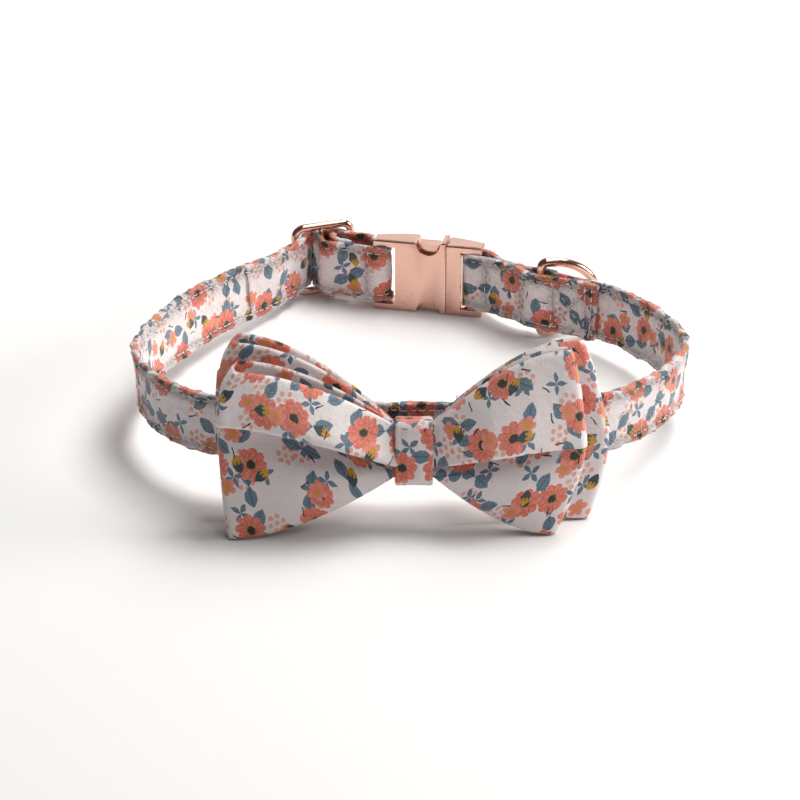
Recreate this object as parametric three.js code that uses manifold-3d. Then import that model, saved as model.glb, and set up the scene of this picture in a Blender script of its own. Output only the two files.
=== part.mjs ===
// Pet bow tie collar standing on its edge, closed: cotton covered strap, metal side release buckle,
// sliding adjuster, lead ring and a two-loop bow tie on a keeper band.
// Millimetres, +Z up, bow towards -Y, buckle towards +Y.

import * as THREE from 'three';
import { mergeVertices } from 'three/addons/utils/BufferGeometryUtils.js';
import Module from 'manifold-3d';

const wasm = await Module();
wasm.setup();

// Driving dimensions: strap and loop
const strapWidth = 19.6;
const strapThickness = 2.0;
const strapEdge = 0.45;
const loopWidth = 170.4;
const loopDepth = 141;
const frontLift = 10.2;
const layerGap = 0.35;
const doubledLength = 50;
const tailLength = 10;

// Driving dimensions: metal hardware for the strap
const slotHeight = 20.8;
const slotWidth = 4.4;
const buckleLength = 37.2;
const buckleDepth = 8.4;
const buckleEndDepth = 5.6;
const buckleFlange = 2.2;
const buckleWall = 1.6;
const buckleBarRadius = 1.5;
const buckleSeam = 6.2;
const pressNotchRadius = 4.15;
const pressNotchPlace = 0.1;
const mouthRibWidth = 1.8;
const mouthRibRise = 0.7;
const partingGroove = 0.4;
const metalBevel = 0.4;
const adjusterLength = 22.6;
const adjusterRod = 2.7;
const adjusterCorner = 3.2;
const adjusterFloorGap = 0.2;
const adjusterReach = 22.0;
const ringWire = 3.2;
const ringOuterHeight = 28.3;
const ringDepth = 18.9;
const ringPlace = 27.5;
const ringFloorGap = 0.3;

const buckleFlat = 0.35;
const buckleTaper = 1.5;
const mouthGap = 0.25;
const grooveInset = 1.0;
const grooveStop = 0.6;
const prongHeight = 3.4;
const prongReach = 8.2;
const pressTabTop = 0.9;
const guideHeight = 4.4;
const guideReach = 6.2;
const ringHeel = 1.6;
const middleBarShare = 0.96;

// Driving dimensions: bow tie
const knotWidth = 11.8;
const knotHeight = 18.8;
const knotWall = 1.2;
const knotMiddle = 24.4;
const bowSheet = 1.1;
const sheetSpacing = 1.75;
const bowHeight = 54;
const leftWing = 47.8;
const rightWing = 42.6;
const frontLeftOpening = 6.4;
const frontRightOpening = 3.6;
const backLeftOpening = 4.6;
const backRightOpening = 2.6;
const frontLeftForward = 3.3;
const frontRightForward = 0.5;
const backLeftBehind = 2.5;
const backRightBehind = 4.2;
const frontLeftRise = 2.8;
const backLeftRise = 2.4;
const rightRise = 0.6;
const backLeftLonger = 2.2;
const backRightLonger = 7.4;
const backLeftTaller = 5.0;
const backRightTaller = 0.2;
const bowFloorGap = 0.2;
const keeperBand = 8;
const keeperWall = 1.0;
const keeperSpread = 16.5;

// Clearances
const fitGap = 0.3;
const ringPlay = 0.65;
const barPlay = 0.7;
const tabPlay = 0.5;

// Places and angles, degrees and shares of the loop's half width and half depth
const buckleShareX = 0.072;
const buckleShareY = 0.973;
const buckleTurn = -12.2;
const adjusterTurn = 20;
const adjusterBearing = 152;
const ringTurn = 15;
const bowLean = 16;
const bowShareX = 0.002;

// Plan angles at which the strap meets and leaves each bar that it turns round, degrees
const slideIn = -40;
const slideOut = -109;
const femaleIn = 40;
const femaleOut = -106;
const tailIn = -105;
const tailOut = -352;

// Bends of the layers between the adjuster and the buckle: shares of their way along and aside
const innerBendTable = [
  { along: 0.35, aside: 0.02 },
  { along: 0.68, aside: 0.1 },
  { along: 0.86, aside: 0.14 },
];
const outerBendTable = [
  { along: 0.36, aside: 0.09 },
  { along: 0.68, aside: 0.1 },
];

// The loop seen from above: bearing round its middle, reach as a share of the ellipse through
// loopWidth and loopDepth, and how far the strap leans out at its top edge, in degrees.
const loopTable = [
  { bearing: 64, reach: 0.872, lean: 0 },
  { bearing: 52.4, reach: 0.829, lean: 0 },
  { bearing: 42.6, reach: 0.834, lean: 2 },
  { bearing: 33.6, reach: 0.865, lean: 4 },
  { bearing: 15, reach: 0.915, lean: 6 },
  { bearing: -1, reach: 0.972, lean: 6 },
  { bearing: -14.4, reach: 1.025, lean: 4 },
  { bearing: -30, reach: 1.06, lean: 2 },
  { bearing: -42.8, reach: 1.09, lean: 0 },
  { bearing: -51.8, reach: 1.115, lean: 0 },
  { bearing: -60.2, reach: 1.095, lean: 0 },
  { bearing: -72.6, reach: 1.034, lean: 0 },
  { bearing: -90, reach: 1.0, lean: 0 },
  { bearing: -108.7, reach: 1.048, lean: 0 },
  { bearing: -120.6, reach: 1.12, lean: 0 },
  { bearing: -128, reach: 1.154, lean: 0 },
  { bearing: -138, reach: 1.143, lean: 1 },
  { bearing: -151, reach: 1.095, lean: 3 },
  { bearing: -163, reach: 1.042, lean: 5 },
  { bearing: -174, reach: 0.985, lean: 6 },
  { bearing: -190, reach: 0.928, lean: 8 },
  { bearing: -211, reach: 0.928, lean: 8 },
  { bearing: -229, reach: 0.982, lean: 4 },
  { bearing: -238, reach: 1.035, lean: 0 },
];

// How a wing opens out from the knot: rise and swell follow powers of the share of the way to the tip,
// the folds fade from foldAtKnot there, and the back sheet keeps a part of the front one's shape.
const riseShape = 1.7;
const swellShape = 0.85;
const foldAtKnot = 0.55;
const foldEnd = 4;
const openShape = 0.75;
const tipTurn = 1.8;
const backFold = 0.25;
const backBulge = -0.35;
const pleatStack = 0.6;
const backPleat = 0.15;
const backSwell = -0.2;
const knotCorner = 0.8;
const knotSwell = 0.5;
const knotCuts = 4;

// Rows of a wing's front sheet from its bottom edge to its top edge. tip and knot are heights as shares
// of the tip's and of the knot's height, reach a share of the wing, bulge and fold shares of wingBulge
// and pleatDepth.
const wingBulge = 3.2;
const pleatDepth = 2.6;
const leftRows = [
  { tip: 0.0, knot: 0.0, reach: 0.94, bulge: 0.0, fold: -0.3 },
  { tip: 0.16, knot: 0.07, reach: 0.965, bulge: 0.6, fold: -0.5 },
  { tip: 0.36, knot: 0.15, reach: 0.985, bulge: 1.0, fold: -0.8 },
  { tip: 0.55, knot: 0.27, reach: 1.0, bulge: 0.9, fold: -1.0 },
  { tip: 0.62, knot: 0.33, reach: 1.0, bulge: 0.7, fold: -1.0 },
  { tip: 0.64, knot: 0.36, reach: 1.0, bulge: 0.9, fold: 0.0 },
  { tip: 0.72, knot: 0.5, reach: 0.995, bulge: 1.1, fold: 0.0 },
  { tip: 0.81, knot: 0.75, reach: 0.985, bulge: 0.8, fold: -0.1 },
  { tip: 0.89, knot: 1.0, reach: 0.935, bulge: 0.2, fold: -0.3 },
];
const rightRows = [
  { tip: 0.0, knot: 0.0, reach: 0.79, bulge: 0.0, fold: -0.3 },
  { tip: 0.12, knot: 0.07, reach: 0.865, bulge: 0.6, fold: -0.5 },
  { tip: 0.27, knot: 0.14, reach: 0.94, bulge: 1.0, fold: -0.8 },
  { tip: 0.42, knot: 0.24, reach: 0.99, bulge: 0.9, fold: -1.0 },
  { tip: 0.485, knot: 0.31, reach: 1.0, bulge: 0.7, fold: -1.0 },
  { tip: 0.505, knot: 0.34, reach: 1.0, bulge: 0.9, fold: 0.0 },
  { tip: 0.62, knot: 0.5, reach: 0.985, bulge: 1.1, fold: 0.0 },
  { tip: 0.82, knot: 0.75, reach: 0.95, bulge: 0.8, fold: -0.1 },
  { tip: 1.0, knot: 1.0, reach: 0.895, bulge: 0.2, fold: -0.3 },
];

const halfStrap = strapThickness / 2;
const deg = THREE.MathUtils.degToRad;
const point = (x, y) => new THREE.Vector2(x, y);
const turned = (angle, along, out) => point(along, out).rotateAround(point(0, 0), deg(angle));
const mix = THREE.MathUtils.lerp;
const hill = (x) => (Math.abs(x) < 1 ? (1 + Math.cos(Math.PI * x)) / 2 : 0);

// Heights of the hardware above the floor
const buckleHeight = slotHeight + 2 * buckleFlange;
const adjusterHeight = slotHeight + 2 * adjusterRod;
const buckleMiddle = buckleHeight / 2;
const adjusterMiddle = adjusterFloorGap + adjusterHeight / 2;
const ringMiddle = ringFloorGap + ringOuterHeight / 2;
const strapMiddle = (buckleMiddle + adjusterMiddle) / 2;

// The strap's height follows how far forward it is, from the hardware to the bow
const liftStart = 0.96;
const liftPower = 1.2;
function strapHeightAt(y) {
  const share = (liftStart * loopDepth / 2 - y) / ((1 + liftStart) * loopDepth / 2);
  return strapMiddle + frontLift * Math.max(share, 0) ** liftPower;
}

// Places of the bars that the strap passes
const buckleBarPlace = buckleLength / 2 - buckleBarRadius;
const buckleBarDepth = buckleEndDepth / 2;
const buckleMid = point(buckleShareX * loopWidth / 2, buckleShareY * loopDepth / 2);
const buckleOrigin = buckleMid.clone().sub(turned(buckleTurn, 0, buckleBarDepth));
const leftBar = buckleMid.clone().add(turned(buckleTurn, -buckleBarPlace, 0));
const rightBar = buckleMid.clone().add(turned(buckleTurn, buckleBarPlace, 0));
const adjusterMid = leftBar.clone().add(turned(adjusterBearing, adjusterReach, 0));
const adjusterBarPlace = (adjusterLength - adjusterRod) / 2;
const adjusterLeftBar = adjusterMid.clone().add(turned(adjusterTurn, -adjusterBarPlace, 0));
const adjusterRightBar = adjusterMid.clone().add(turned(adjusterTurn, adjusterBarPlace, 0));

// Radii of the strap's centre line round the bars
const roundBuckleBar = buckleBarRadius + barPlay + halfStrap;
const roundRod = adjusterRod / 2 + fitGap + halfStrap;
const roundTail = roundRod + strapThickness + layerGap;
const roundRing = ringWire / 2 + ringPlay + halfStrap;
const sewnHalf = (strapThickness + layerGap) / 2;

// Points on an arc about a bar, by plan angle in degrees
function wrap(centre, radius, from, to) {
  const step = 28;
  const count = Math.max(1, Math.round(Math.abs(to - from) / step));
  return Array.from({ length: count + 1 }, (_, i) => {
    const angle = deg(mix(from, to, i / count));
    return centre.clone().add(point(radius * Math.cos(angle), radius * Math.sin(angle)));
  });
}

// A point beside the line from a to b, both as shares of its length
function between(a, b, along, aside) {
  const line = b.clone().sub(a);
  return a.clone().addScaledVector(line, along).addScaledVector(point(-line.y, line.x), aside);
}

function loopPoint(row) {
  const angle = deg(row.bearing);
  return point(row.reach * loopWidth / 2 * Math.cos(angle), row.reach * loopDepth / 2 * Math.sin(angle));
}

// Lean of the strap at a place, from the loop's table
function leanAt(place) {
  let bearing = THREE.MathUtils.radToDeg(Math.atan2(place.y / loopDepth, place.x / loopWidth));
  if (bearing > loopTable[0].bearing) bearing -= 360;
  const next = loopTable.findIndex((row) => row.bearing <= bearing);
  if (next < 1) return 0;
  const [a, b] = [loopTable[next - 1], loopTable[next]];
  return mix(a.lean, b.lean, (a.bearing - bearing) / (a.bearing - b.bearing));
}

// Even samples of a smooth line through plan points, finer where the points are close
function smoothLine(points, maxStep) {
  const stops = points.map((p) => new THREE.Vector3(p.x, p.y, 0));
  const curve = new THREE.CatmullRomCurve3(stops, false, 'centripetal');
  const out = [];
  const last = points.length - 1;
  for (let i = 0; i < last; i += 1) {
    const cuts = Math.max(1, Math.ceil(points[i].distanceTo(points[i + 1]) / maxStep));
    for (let k = 0; k < cuts; k += 1) {
      const p = curve.getPoint((i + k / cuts) / last);
      out.push(point(p.x, p.y));
    }
  }
  out.push(points[last].clone());
  return out;
}

// Where the strap crosses the adjuster between two bars, the line that touches both wraps
const crossAngle = THREE.MathUtils.radToDeg(Math.asin((roundRod + roundTail) / adjusterBarPlace));
const crossUp = adjusterTurn + crossAngle;
const crossDown = adjusterTurn - crossAngle;

// The inner layer's way from the buckle to the adjuster, and the sewn tail beside it
const innerStart = leftBar.clone().add(turned(femaleOut, roundBuckleBar, 0));
const innerEnd = adjusterMid.clone().add(turned(tailIn, roundRod, 0));
const innerBends = innerBendTable.map((row) => between(innerStart, innerEnd, row.along, row.aside));
const [bendFirst, bendMiddle] = innerBends;
const tailLine = bendFirst.clone().sub(bendMiddle).normalize();
const tailNear = bendMiddle.clone().addScaledVector(point(-tailLine.y, tailLine.x), 2 * sewnHalf);
const tailLast = tailNear.clone().addScaledVector(tailLine, tailLength / 2);

// The strap's line from the right bar of the buckle round the whole loop to the sewn tail
const outerStart = adjusterRightBar.clone().add(turned(slideOut, roundRod, 0));
const outerEnd = leftBar.clone().add(turned(femaleIn, roundBuckleBar, 0));
const masterPoints = [
  rightBar,
  ...loopTable.map(loopPoint),
  ...wrap(adjusterLeftBar, roundRod, slideIn, crossUp - 90),
  ...wrap(adjusterMid, roundTail, crossUp + 90, crossDown + 90),
  ...wrap(adjusterRightBar, roundRod, crossDown - 90, slideOut),
  ...outerBendTable.map((row) => between(outerStart, outerEnd, row.along, row.aside)),
  ...wrap(leftBar, roundBuckleBar, femaleIn, femaleOut),
  ...innerBends,
  ...wrap(adjusterMid, roundRod, tailIn, tailOut),
  tailNear,
  tailLast,
];
const stepLength = 4.2;
const master = smoothLine(masterPoints, stepLength);

function headingsOf(line) {
  return line.map((_, i) => {
    const a = line[Math.max(i - 1, 0)];
    const b = line[Math.min(i + 1, line.length - 1)];
    return b.clone().sub(a).normalize();
  });
}

// Running length along a line, at each of its points
function lengthsOf(line) {
  const sums = [0];
  for (let i = 1; i < line.length; i += 1) sums.push(sums[i - 1] + line[i].distanceTo(line[i - 1]));
  return sums;
}

// Half the distance between the two layers on the buckle's right, along the strap
const pocketLength = 10;
function halfGapAt(s) {
  const atBar = (roundBuckleBar - sewnHalf) * hill(s / pocketLength);
  const atRing = (roundRing - sewnHalf) * hill((s - ringPlace) / pocketLength);
  return sewnHalf + atBar + atRing;
}

// The same line with even short steps over the doubled stretch
const fineStep = 2;
const rightPoints = smoothLine(masterPoints.slice(0, loopTable.length), fineStep);
const rightHeadings = headingsOf(rightPoints);
const rightLengths = lengthsOf(rightPoints);
const layerPoint = (i, side) => {
  const out = point(-rightHeadings[i].y, rightHeadings[i].x);
  return rightPoints[i].clone().addScaledVector(out, side * halfGapAt(rightLengths[i]));
};
const doubled = rightPoints.map((_, i) => i).filter((i) => rightLengths[i] <= doubledLength);
const outerLayer = doubled.map((i) => layerPoint(i, 1));
const innerLayer = doubled.map((i) => layerPoint(i, -1));
const barAngle = THREE.MathUtils.radToDeg(rightHeadings[0].angle());
const turnBack = wrap(rightBar, roundBuckleBar, barAngle + 90, barAngle + 270).slice(1, -1);

// Beyond the doubled stretch the outer layer runs on as the single strap
const doubledEnd = rightPoints[doubled[doubled.length - 1]];
const easeLength = 24;
const masterLengths = lengthsOf(master);
const single = master.filter((_, i) => masterLengths[i] > doubledLength + stepLength);
const singleHeadings = headingsOf(single);
const singleLengths = lengthsOf([doubledEnd, ...single]).slice(1);
const singleLayer = single.map((p, i) => {
  const out = point(-singleHeadings[i].y, singleHeadings[i].x);
  return p.clone().addScaledVector(out, sewnHalf * hill(Math.min(singleLengths[i] / easeLength, 1)));
});
const strapLine = [...innerLayer.slice().reverse(), ...turnBack.reverse(), ...outerLayer, ...singleLayer];

// A closed solid from rings of points: each ring is one closed section, the ends capped or joined
function solidFromRings(rings, joined) {
  const sides = rings[0].length;
  const positions = rings.flat().flatMap((p) => [p.x, p.y, p.z]);
  const indices = [];
  const count = rings.length;
  for (let i = 0; i < (joined ? count : count - 1); i += 1) {
    const [a, b] = [i * sides, ((i + 1) % count) * sides];
    for (let k = 0; k < sides; k += 1) {
      const n = (k + 1) % sides;
      indices.push(a + k, b + k, b + n, a + k, b + n, a + n);
    }
  }
  if (!joined) {
    const end = (count - 1) * sides;
    for (let k = 1; k < sides - 1; k += 1) {
      indices.push(0, k, k + 1, end, end + k + 1, end + k);
    }
  }
  const geometry = new THREE.BufferGeometry();
  geometry.setAttribute('position', new THREE.Float32BufferAttribute(positions, 3));
  geometry.setIndex(indices);
  return facingOut(geometry);
}

// Turns all faces round where the solid's volume comes out negative
function facingOut(geometry) {
  const p = geometry.attributes.position;
  const index = geometry.index.array;
  const [a, b, c] = [new THREE.Vector3(), new THREE.Vector3(), new THREE.Vector3()];
  let volume = 0;
  for (let i = 0; i < index.length; i += 3) {
    a.fromBufferAttribute(p, index[i]);
    b.fromBufferAttribute(p, index[i + 1]);
    c.fromBufferAttribute(p, index[i + 2]);
    volume += a.dot(b.cross(c));
  }
  if (volume < 0) {
    const flipped = [];
    for (let i = 0; i < index.length; i += 3) flipped.push(index[i], index[i + 2], index[i + 1]);
    geometry.setIndex(flipped);
  }
  return geometry;
}

// Joins and cuts of closed solids
function toManifold(geometry) {
  const bare = geometry.clone();
  bare.deleteAttribute('normal');
  bare.deleteAttribute('uv');
  const merged = mergeVertices(bare, 1e-5);
  const vertProperties = new Float32Array(merged.attributes.position.array);
  const triVerts = new Uint32Array(merged.index.array);
  return new wasm.Manifold(new wasm.Mesh({ numProp: 3, vertProperties, triVerts }));
}

function fromManifold(solid) {
  const mesh = solid.getMesh();
  const geometry = new THREE.BufferGeometry();
  geometry.setAttribute('position', new THREE.BufferAttribute(new Float32Array(mesh.vertProperties), 3));
  geometry.setIndex(Array.from(mesh.triVerts));
  return geometry;
}

function box(low, high) {
  const geometry = new THREE.BoxGeometry(high[0] - low[0], high[1] - low[1], high[2] - low[2]);
  geometry.translate((low[0] + high[0]) / 2, (low[1] + high[1]) / 2, (low[2] + high[2]) / 2);
  return toManifold(geometry);
}

function rodAlongZ(x, y, radius, low, high, sides) {
  const geometry = new THREE.CylinderGeometry(radius, radius, high - low, sides);
  geometry.rotateX(Math.PI / 2);
  geometry.translate(x, y, (low + high) / 2);
  return toManifold(geometry);
}

function rodAlongY(x, z, radius, low, high, sides) {
  const geometry = new THREE.CylinderGeometry(radius, radius, high - low, sides);
  geometry.translate(x, (low + high) / 2, z);
  return toManifold(geometry);
}

// Strap: one ribbon with eased edges along the whole line
function strapGeometry() {
  const headings = headingsOf(strapLine);
  const [w, t] = [strapWidth / 2, halfStrap];
  const section = [
    [t, w - strapEdge], [t - strapEdge, w], [strapEdge - t, w], [-t, w - strapEdge],
    [-t, strapEdge - w], [strapEdge - t, -w], [t - strapEdge, -w], [t, strapEdge - w],
  ];
  const rings = strapLine.map((p, i) => {
    const out = new THREE.Vector3(-headings[i].y, headings[i].x, 0);
    const outward = Math.sign(out.x * p.x + out.y * p.y) || 1;
    const lean = deg(leanAt(p)) * outward;
    const up = new THREE.Vector3(out.x * Math.sin(lean), out.y * Math.sin(lean), Math.cos(lean));
    const middle = new THREE.Vector3(p.x, p.y, strapHeightAt(p.y));
    return section.map(([a, b]) => middle.clone().addScaledVector(out, a).addScaledVector(up, b));
  });
  return solidFromRings(rings, false);
}

// Buckle halves in the buckle's own frame: X along the strap, Y outwards, Z up from the floor
function bucklePlan(from, to) {
  const half = buckleLength / 2;
  const taperShare = (x) => Math.max(0, (Math.abs(x) / half - buckleFlat) / (1 - buckleFlat));
  const depthAt = (x) => mix(buckleDepth, buckleEndDepth, taperShare(x) ** buckleTaper);
  const steps = 8;
  const shape = new THREE.Shape();
  const b = metalBevel;
  shape.moveTo(from + b, b);
  shape.lineTo(to - b, b);
  for (let i = 0; i <= steps; i += 1) {
    const x = mix(to - b, from + b, i / steps);
    shape.lineTo(x, depthAt(x) - b);
  }
  shape.closePath();
  return shape;
}

function buckleBlock(from, to, low, high) {
  const geometry = new THREE.ExtrudeGeometry(bucklePlan(from, to), {
    depth: high - low - 2 * metalBevel,
    bevelEnabled: true,
    bevelThickness: metalBevel,
    bevelSize: metalBevel,
    bevelSegments: 1,
    curveSegments: 4,
  });
  geometry.translate(0, 0, low + metalBevel);
  return toManifold(geometry);
}

// How far cuts run past the faces they open, and joined pieces into each other
const through = 20;
const over = 1;
const prongPlay = 1.2;
const barSeat = 1;
const halfBuckle = buckleLength / 2;
const slotInner = halfBuckle - 2 * buckleBarRadius - slotWidth;
const barSides = 14;
const notchSides = 28;

function endSlot(side) {
  const [near, far] = [side * slotInner, side * (halfBuckle + over)];
  const cut = box(
    [Math.min(near, far), -over, buckleFlange],
    [Math.max(near, far), through, buckleHeight - buckleFlange],
  );
  const [low, high] = [barSeat, buckleHeight - barSeat];
  const bar = rodAlongZ(side * buckleBarPlace, buckleBarDepth, buckleBarRadius, low, high, barSides);
  return { cut, bar };
}

function edgeGroove(from, to) {
  const top = buckleHeight;
  const y = metalBevel + partingGroove / 2;
  return box([from, y, top - partingGroove], [to, y + partingGroove, top + over]);
}

function femaleBuckle() {
  const slot = endSlot(-1);
  let body = buckleBlock(-halfBuckle, buckleSeam, 0, buckleHeight);
  const ribTop = buckleHeight + mouthRibRise;
  const rib = buckleBlock(buckleSeam - mouthRibWidth, buckleSeam, buckleHeight / 2, ribTop);
  body = body.add(rib).subtract(slot.cut).add(slot.bar);
  const cavity = box(
    [pressNotchPlace - prongReach - prongPlay, buckleWall, buckleFlange],
    [buckleSeam + over, buckleDepth - buckleWall, buckleHeight - buckleFlange],
  );
  body = body.subtract(cavity);
  for (const edge of [0, buckleHeight]) {
    body = body.subtract(rodAlongY(pressNotchPlace, edge, pressNotchRadius, -over, through, notchSides));
  }
  const grooveEnd = pressNotchPlace - pressNotchRadius - grooveStop;
  return body.subtract(edgeGroove(-halfBuckle + grooveInset, grooveEnd));
}

function maleBuckle() {
  const slot = endSlot(1);
  let body = buckleBlock(buckleSeam + mouthGap, halfBuckle, 0, buckleHeight);
  body = body.subtract(slot.cut).add(slot.bar);
  body = body.subtract(edgeGroove(buckleSeam + mouthGap + grooveInset, halfBuckle - grooveInset));
  const [low, high] = [buckleWall + fitGap, buckleDepth - buckleWall - fitGap];
  const root = buckleSeam + mouthGap + over;
  for (const side of [-1, 1]) {
    const level = (z) => (side < 0 ? z : buckleHeight - z);
    const edge = buckleFlange + fitGap;
    const zs = [level(edge), level(edge + prongHeight)].sort((a, b) => a - b);
    body = body.add(box([pressNotchPlace - prongReach, low, zs[0]], [root, high, zs[1]]));
    const radius = pressNotchRadius - tabPlay;
    const tabs = [level(pressTabTop), level(radius)].sort((a, b) => a - b);
    const disc = rodAlongY(pressNotchPlace, level(0), radius, low, high, notchSides);
    body = body.add(disc.intersect(box([-halfBuckle, low, tabs[0]], [halfBuckle, high, tabs[1]])));
  }
  const [bottom, top] = [(buckleHeight - guideHeight) / 2, (buckleHeight + guideHeight) / 2];
  return body.add(box([pressNotchPlace - guideReach, low, bottom], [root, high, top]));
}

// Closed wire along a flat outline given as [along, up] pairs, in the plane of X and Z
function flatWire(outline, radius, sides) {
  const count = outline.length;
  const rings = outline.map(([x, z], i) => {
    const [a, b] = [outline[(i + count - 1) % count], outline[(i + 1) % count]];
    const run = new THREE.Vector3(b[0] - a[0], 0, b[1] - a[1]).normalize();
    const side = new THREE.Vector3(run.z, 0, -run.x);
    return Array.from({ length: sides }, (_, k) => {
      const angle = (2 * Math.PI * k) / sides;
      return new THREE.Vector3(x, 0, z)
        .addScaledVector(side, radius * Math.cos(angle))
        .add(new THREE.Vector3(0, radius * Math.sin(angle), 0));
    });
  });
  return solidFromRings(rings, true);
}

const wireSides = 12;
const ringSides = 10;
const ringArcCuts = 26;
const heelTurn = 112;

function corner(cx, cz, radius, from, to, count) {
  return Array.from({ length: count + 1 }, (_, i) => {
    const angle = deg(mix(from, to, i / count));
    return [cx + radius * Math.cos(angle), cz + radius * Math.sin(angle)];
  });
}

function adjuster() {
  const [x, z] = [adjusterBarPlace - adjusterCorner, (adjusterHeight - adjusterRod) / 2 - adjusterCorner];
  const cuts = 4;
  const outline = [
    ...corner(x, z, adjusterCorner, 0, 90, cuts),
    ...corner(-x, z, adjusterCorner, 90, 180, cuts),
    ...corner(-x, -z, adjusterCorner, 180, 270, cuts),
    ...corner(x, -z, adjusterCorner, 270, 360, cuts),
  ];
  const radius = adjusterRod / 2;
  const frame = toManifold(flatWire(outline, radius, wireSides));
  const reach = adjusterHeight / 2 - radius;
  return frame.add(rodAlongZ(0, 0, radius * middleBarShare, -reach, reach, wireSides));
}

function leadRing() {
  const wire = ringWire / 2;
  const half = ringOuterHeight / 2 - wire;
  const arc = Array.from({ length: ringArcCuts + 1 }, (_, i) => {
    const angle = deg(mix(-90, 90, i / ringArcCuts));
    return [ringHeel + (ringDepth - ringHeel) * Math.cos(angle), half * Math.sin(angle)];
  });
  const bar = half - ringHeel;
  const outline = [
    ...arc,
    ...corner(ringHeel, bar, ringHeel, heelTurn, 180, 3),
    [0, 0],
    ...corner(ringHeel, -bar, ringHeel, 180, 360 - heelTurn, 3),
  ];
  return flatWire(outline, wire, ringSides);
}

// Bow tie: each loop is one band of folded cloth, pinched by the knot and turned back at both tips.
// Its own frame has X across, up along the lean and forward towards the viewer.
const bowUp = new THREE.Vector3(0, Math.sin(deg(bowLean)), Math.cos(deg(bowLean)));
const bowForward = new THREE.Vector3(0, -Math.cos(deg(bowLean)), Math.sin(deg(bowLean)));
const pinchHalf = knotHeight / 2 - knotWall - fitGap;
const foldDepth = pleatDepth * pleatStack;
const stackDepth = 3 * sheetSpacing + foldDepth;
const frontFace = -loopDepth / 2 - halfStrap;
const knotBack = stackDepth + bowSheet / 2 + fitGap + knotWall;
const keeperFront = keeperWall + 2 * fitGap;
const leanRoom = (knotHeight / 2) * Math.tan(deg(bowLean));
const bowX = bowShareX * loopWidth;
const bowY = frontFace - keeperFront - fitGap - leanRoom - knotBack / Math.cos(deg(bowLean));
const bowZ = knotMiddle;
const bowPoint = (x, up, forward) => new THREE.Vector3(bowX + x, bowY, bowZ)
  .addScaledVector(bowUp, up)
  .addScaledVector(bowForward, forward);

// How far up the bow's own frame the floor lies, for a sheet at a forward place
const floorUp = (forward) => (bowFloorGap - bowZ - forward * Math.sin(deg(bowLean))) / Math.cos(deg(bowLean));

// A place on a sheet: q runs from the knot's edge to the tip, and a back sheet rises above the front one
function sheetPoint(side, row, q, setBack, shape, higher) {
  const wing = side < 0 ? leftWing : rightWing;
  const end = side < 0 ? shape.left : shape.right;
  const rise = 1 - (1 - q) ** riseShape;
  const tipHeight = bowHeight + end.taller + higher;
  const tipUp = floorUp(-shape.setBack - end.tipBack - end.opening) + tipHeight * row.tip;
  const knotUp = (2 * row.knot - 1) * pinchHalf;
  const up = mix(knotUp, tipUp, rise);
  const x = side * (knotWidth / 2 + q * (wing * row.reach + end.longer));
  const swell = Math.sin(Math.PI * q ** swellShape);
  const fade = mix(swell, 1 - q, foldAtKnot) * (1 - q ** foldEnd);
  const fold = row.fold * pleatDepth * shape.pleat * fade;
  const bulge = wingBulge * row.bulge * shape.bulge * swell;
  return bowPoint(x, up, fold + bulge - setBack);
}

function bowLoop(shape) {
  const stations = 9;
  const turns = 4;
  const wingRing = (side, rows) => rows.map((row) => {
    const line = [];
    const end = side < 0 ? shape.left : shape.right;
    const tipSet = shape.setBack + end.tipBack;
    for (let i = 0; i <= stations; i += 1) {
      const q = i / stations;
      line.push(sheetPoint(side, row, q, mix(shape.setBack, tipSet, q), shape, 0));
    }
    const backRow = { ...row, fold: row.fold * backFold, bulge: row.bulge * backBulge };
    const tip = line[stations];
    const backTip = sheetPoint(side, backRow, 1, tipSet + end.opening, shape, end.rise);
    for (let k = 1; k < turns; k += 1) {
      const angle = (Math.PI * k) / turns;
      const outward = side * Math.sin(angle) * tipTurn;
      line.push(tip.clone().lerp(backTip, (1 - Math.cos(angle)) / 2).add(new THREE.Vector3(outward, 0, 0)));
    }
    for (let i = stations; i >= 0; i -= 1) {
      const q = i / stations;
      const behind = mix(shape.pinch, end.opening, q ** openShape);
      line.push(sheetPoint(side, backRow, q, mix(shape.setBack, tipSet, q) + behind, shape, end.rise));
    }
    return line;
  });
  const right = wingRing(1, rightRows);
  const left = wingRing(-1, leftRows).map((line) => line.reverse());
  const grid = right.map((line, r) => [...line, ...left[r]]);
  return thickBand(grid, bowSheet);
}

// Gives a closed band of rows its thickness, along the surface normal at each place
function thickBand(grid, thickness) {
  const rows = grid.length;
  const count = grid[0].length;
  const rings = Array.from({ length: count }, (_, i) => {
    const outer = [];
    const inner = [];
    for (let r = 0; r < rows; r += 1) {
      const along = grid[r][(i + 1) % count].clone().sub(grid[r][(i + count - 1) % count]);
      const across = grid[Math.min(r + 1, rows - 1)][i].clone().sub(grid[Math.max(r - 1, 0)][i]);
      const normal = along.cross(across).normalize().multiplyScalar(thickness / 2);
      outer.push(grid[r][i].clone().add(normal));
      inner.unshift(grid[r][i].clone().sub(normal));
    }
    return [...outer, ...inner];
  });
  return solidFromRings(rings, true);
}

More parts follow.
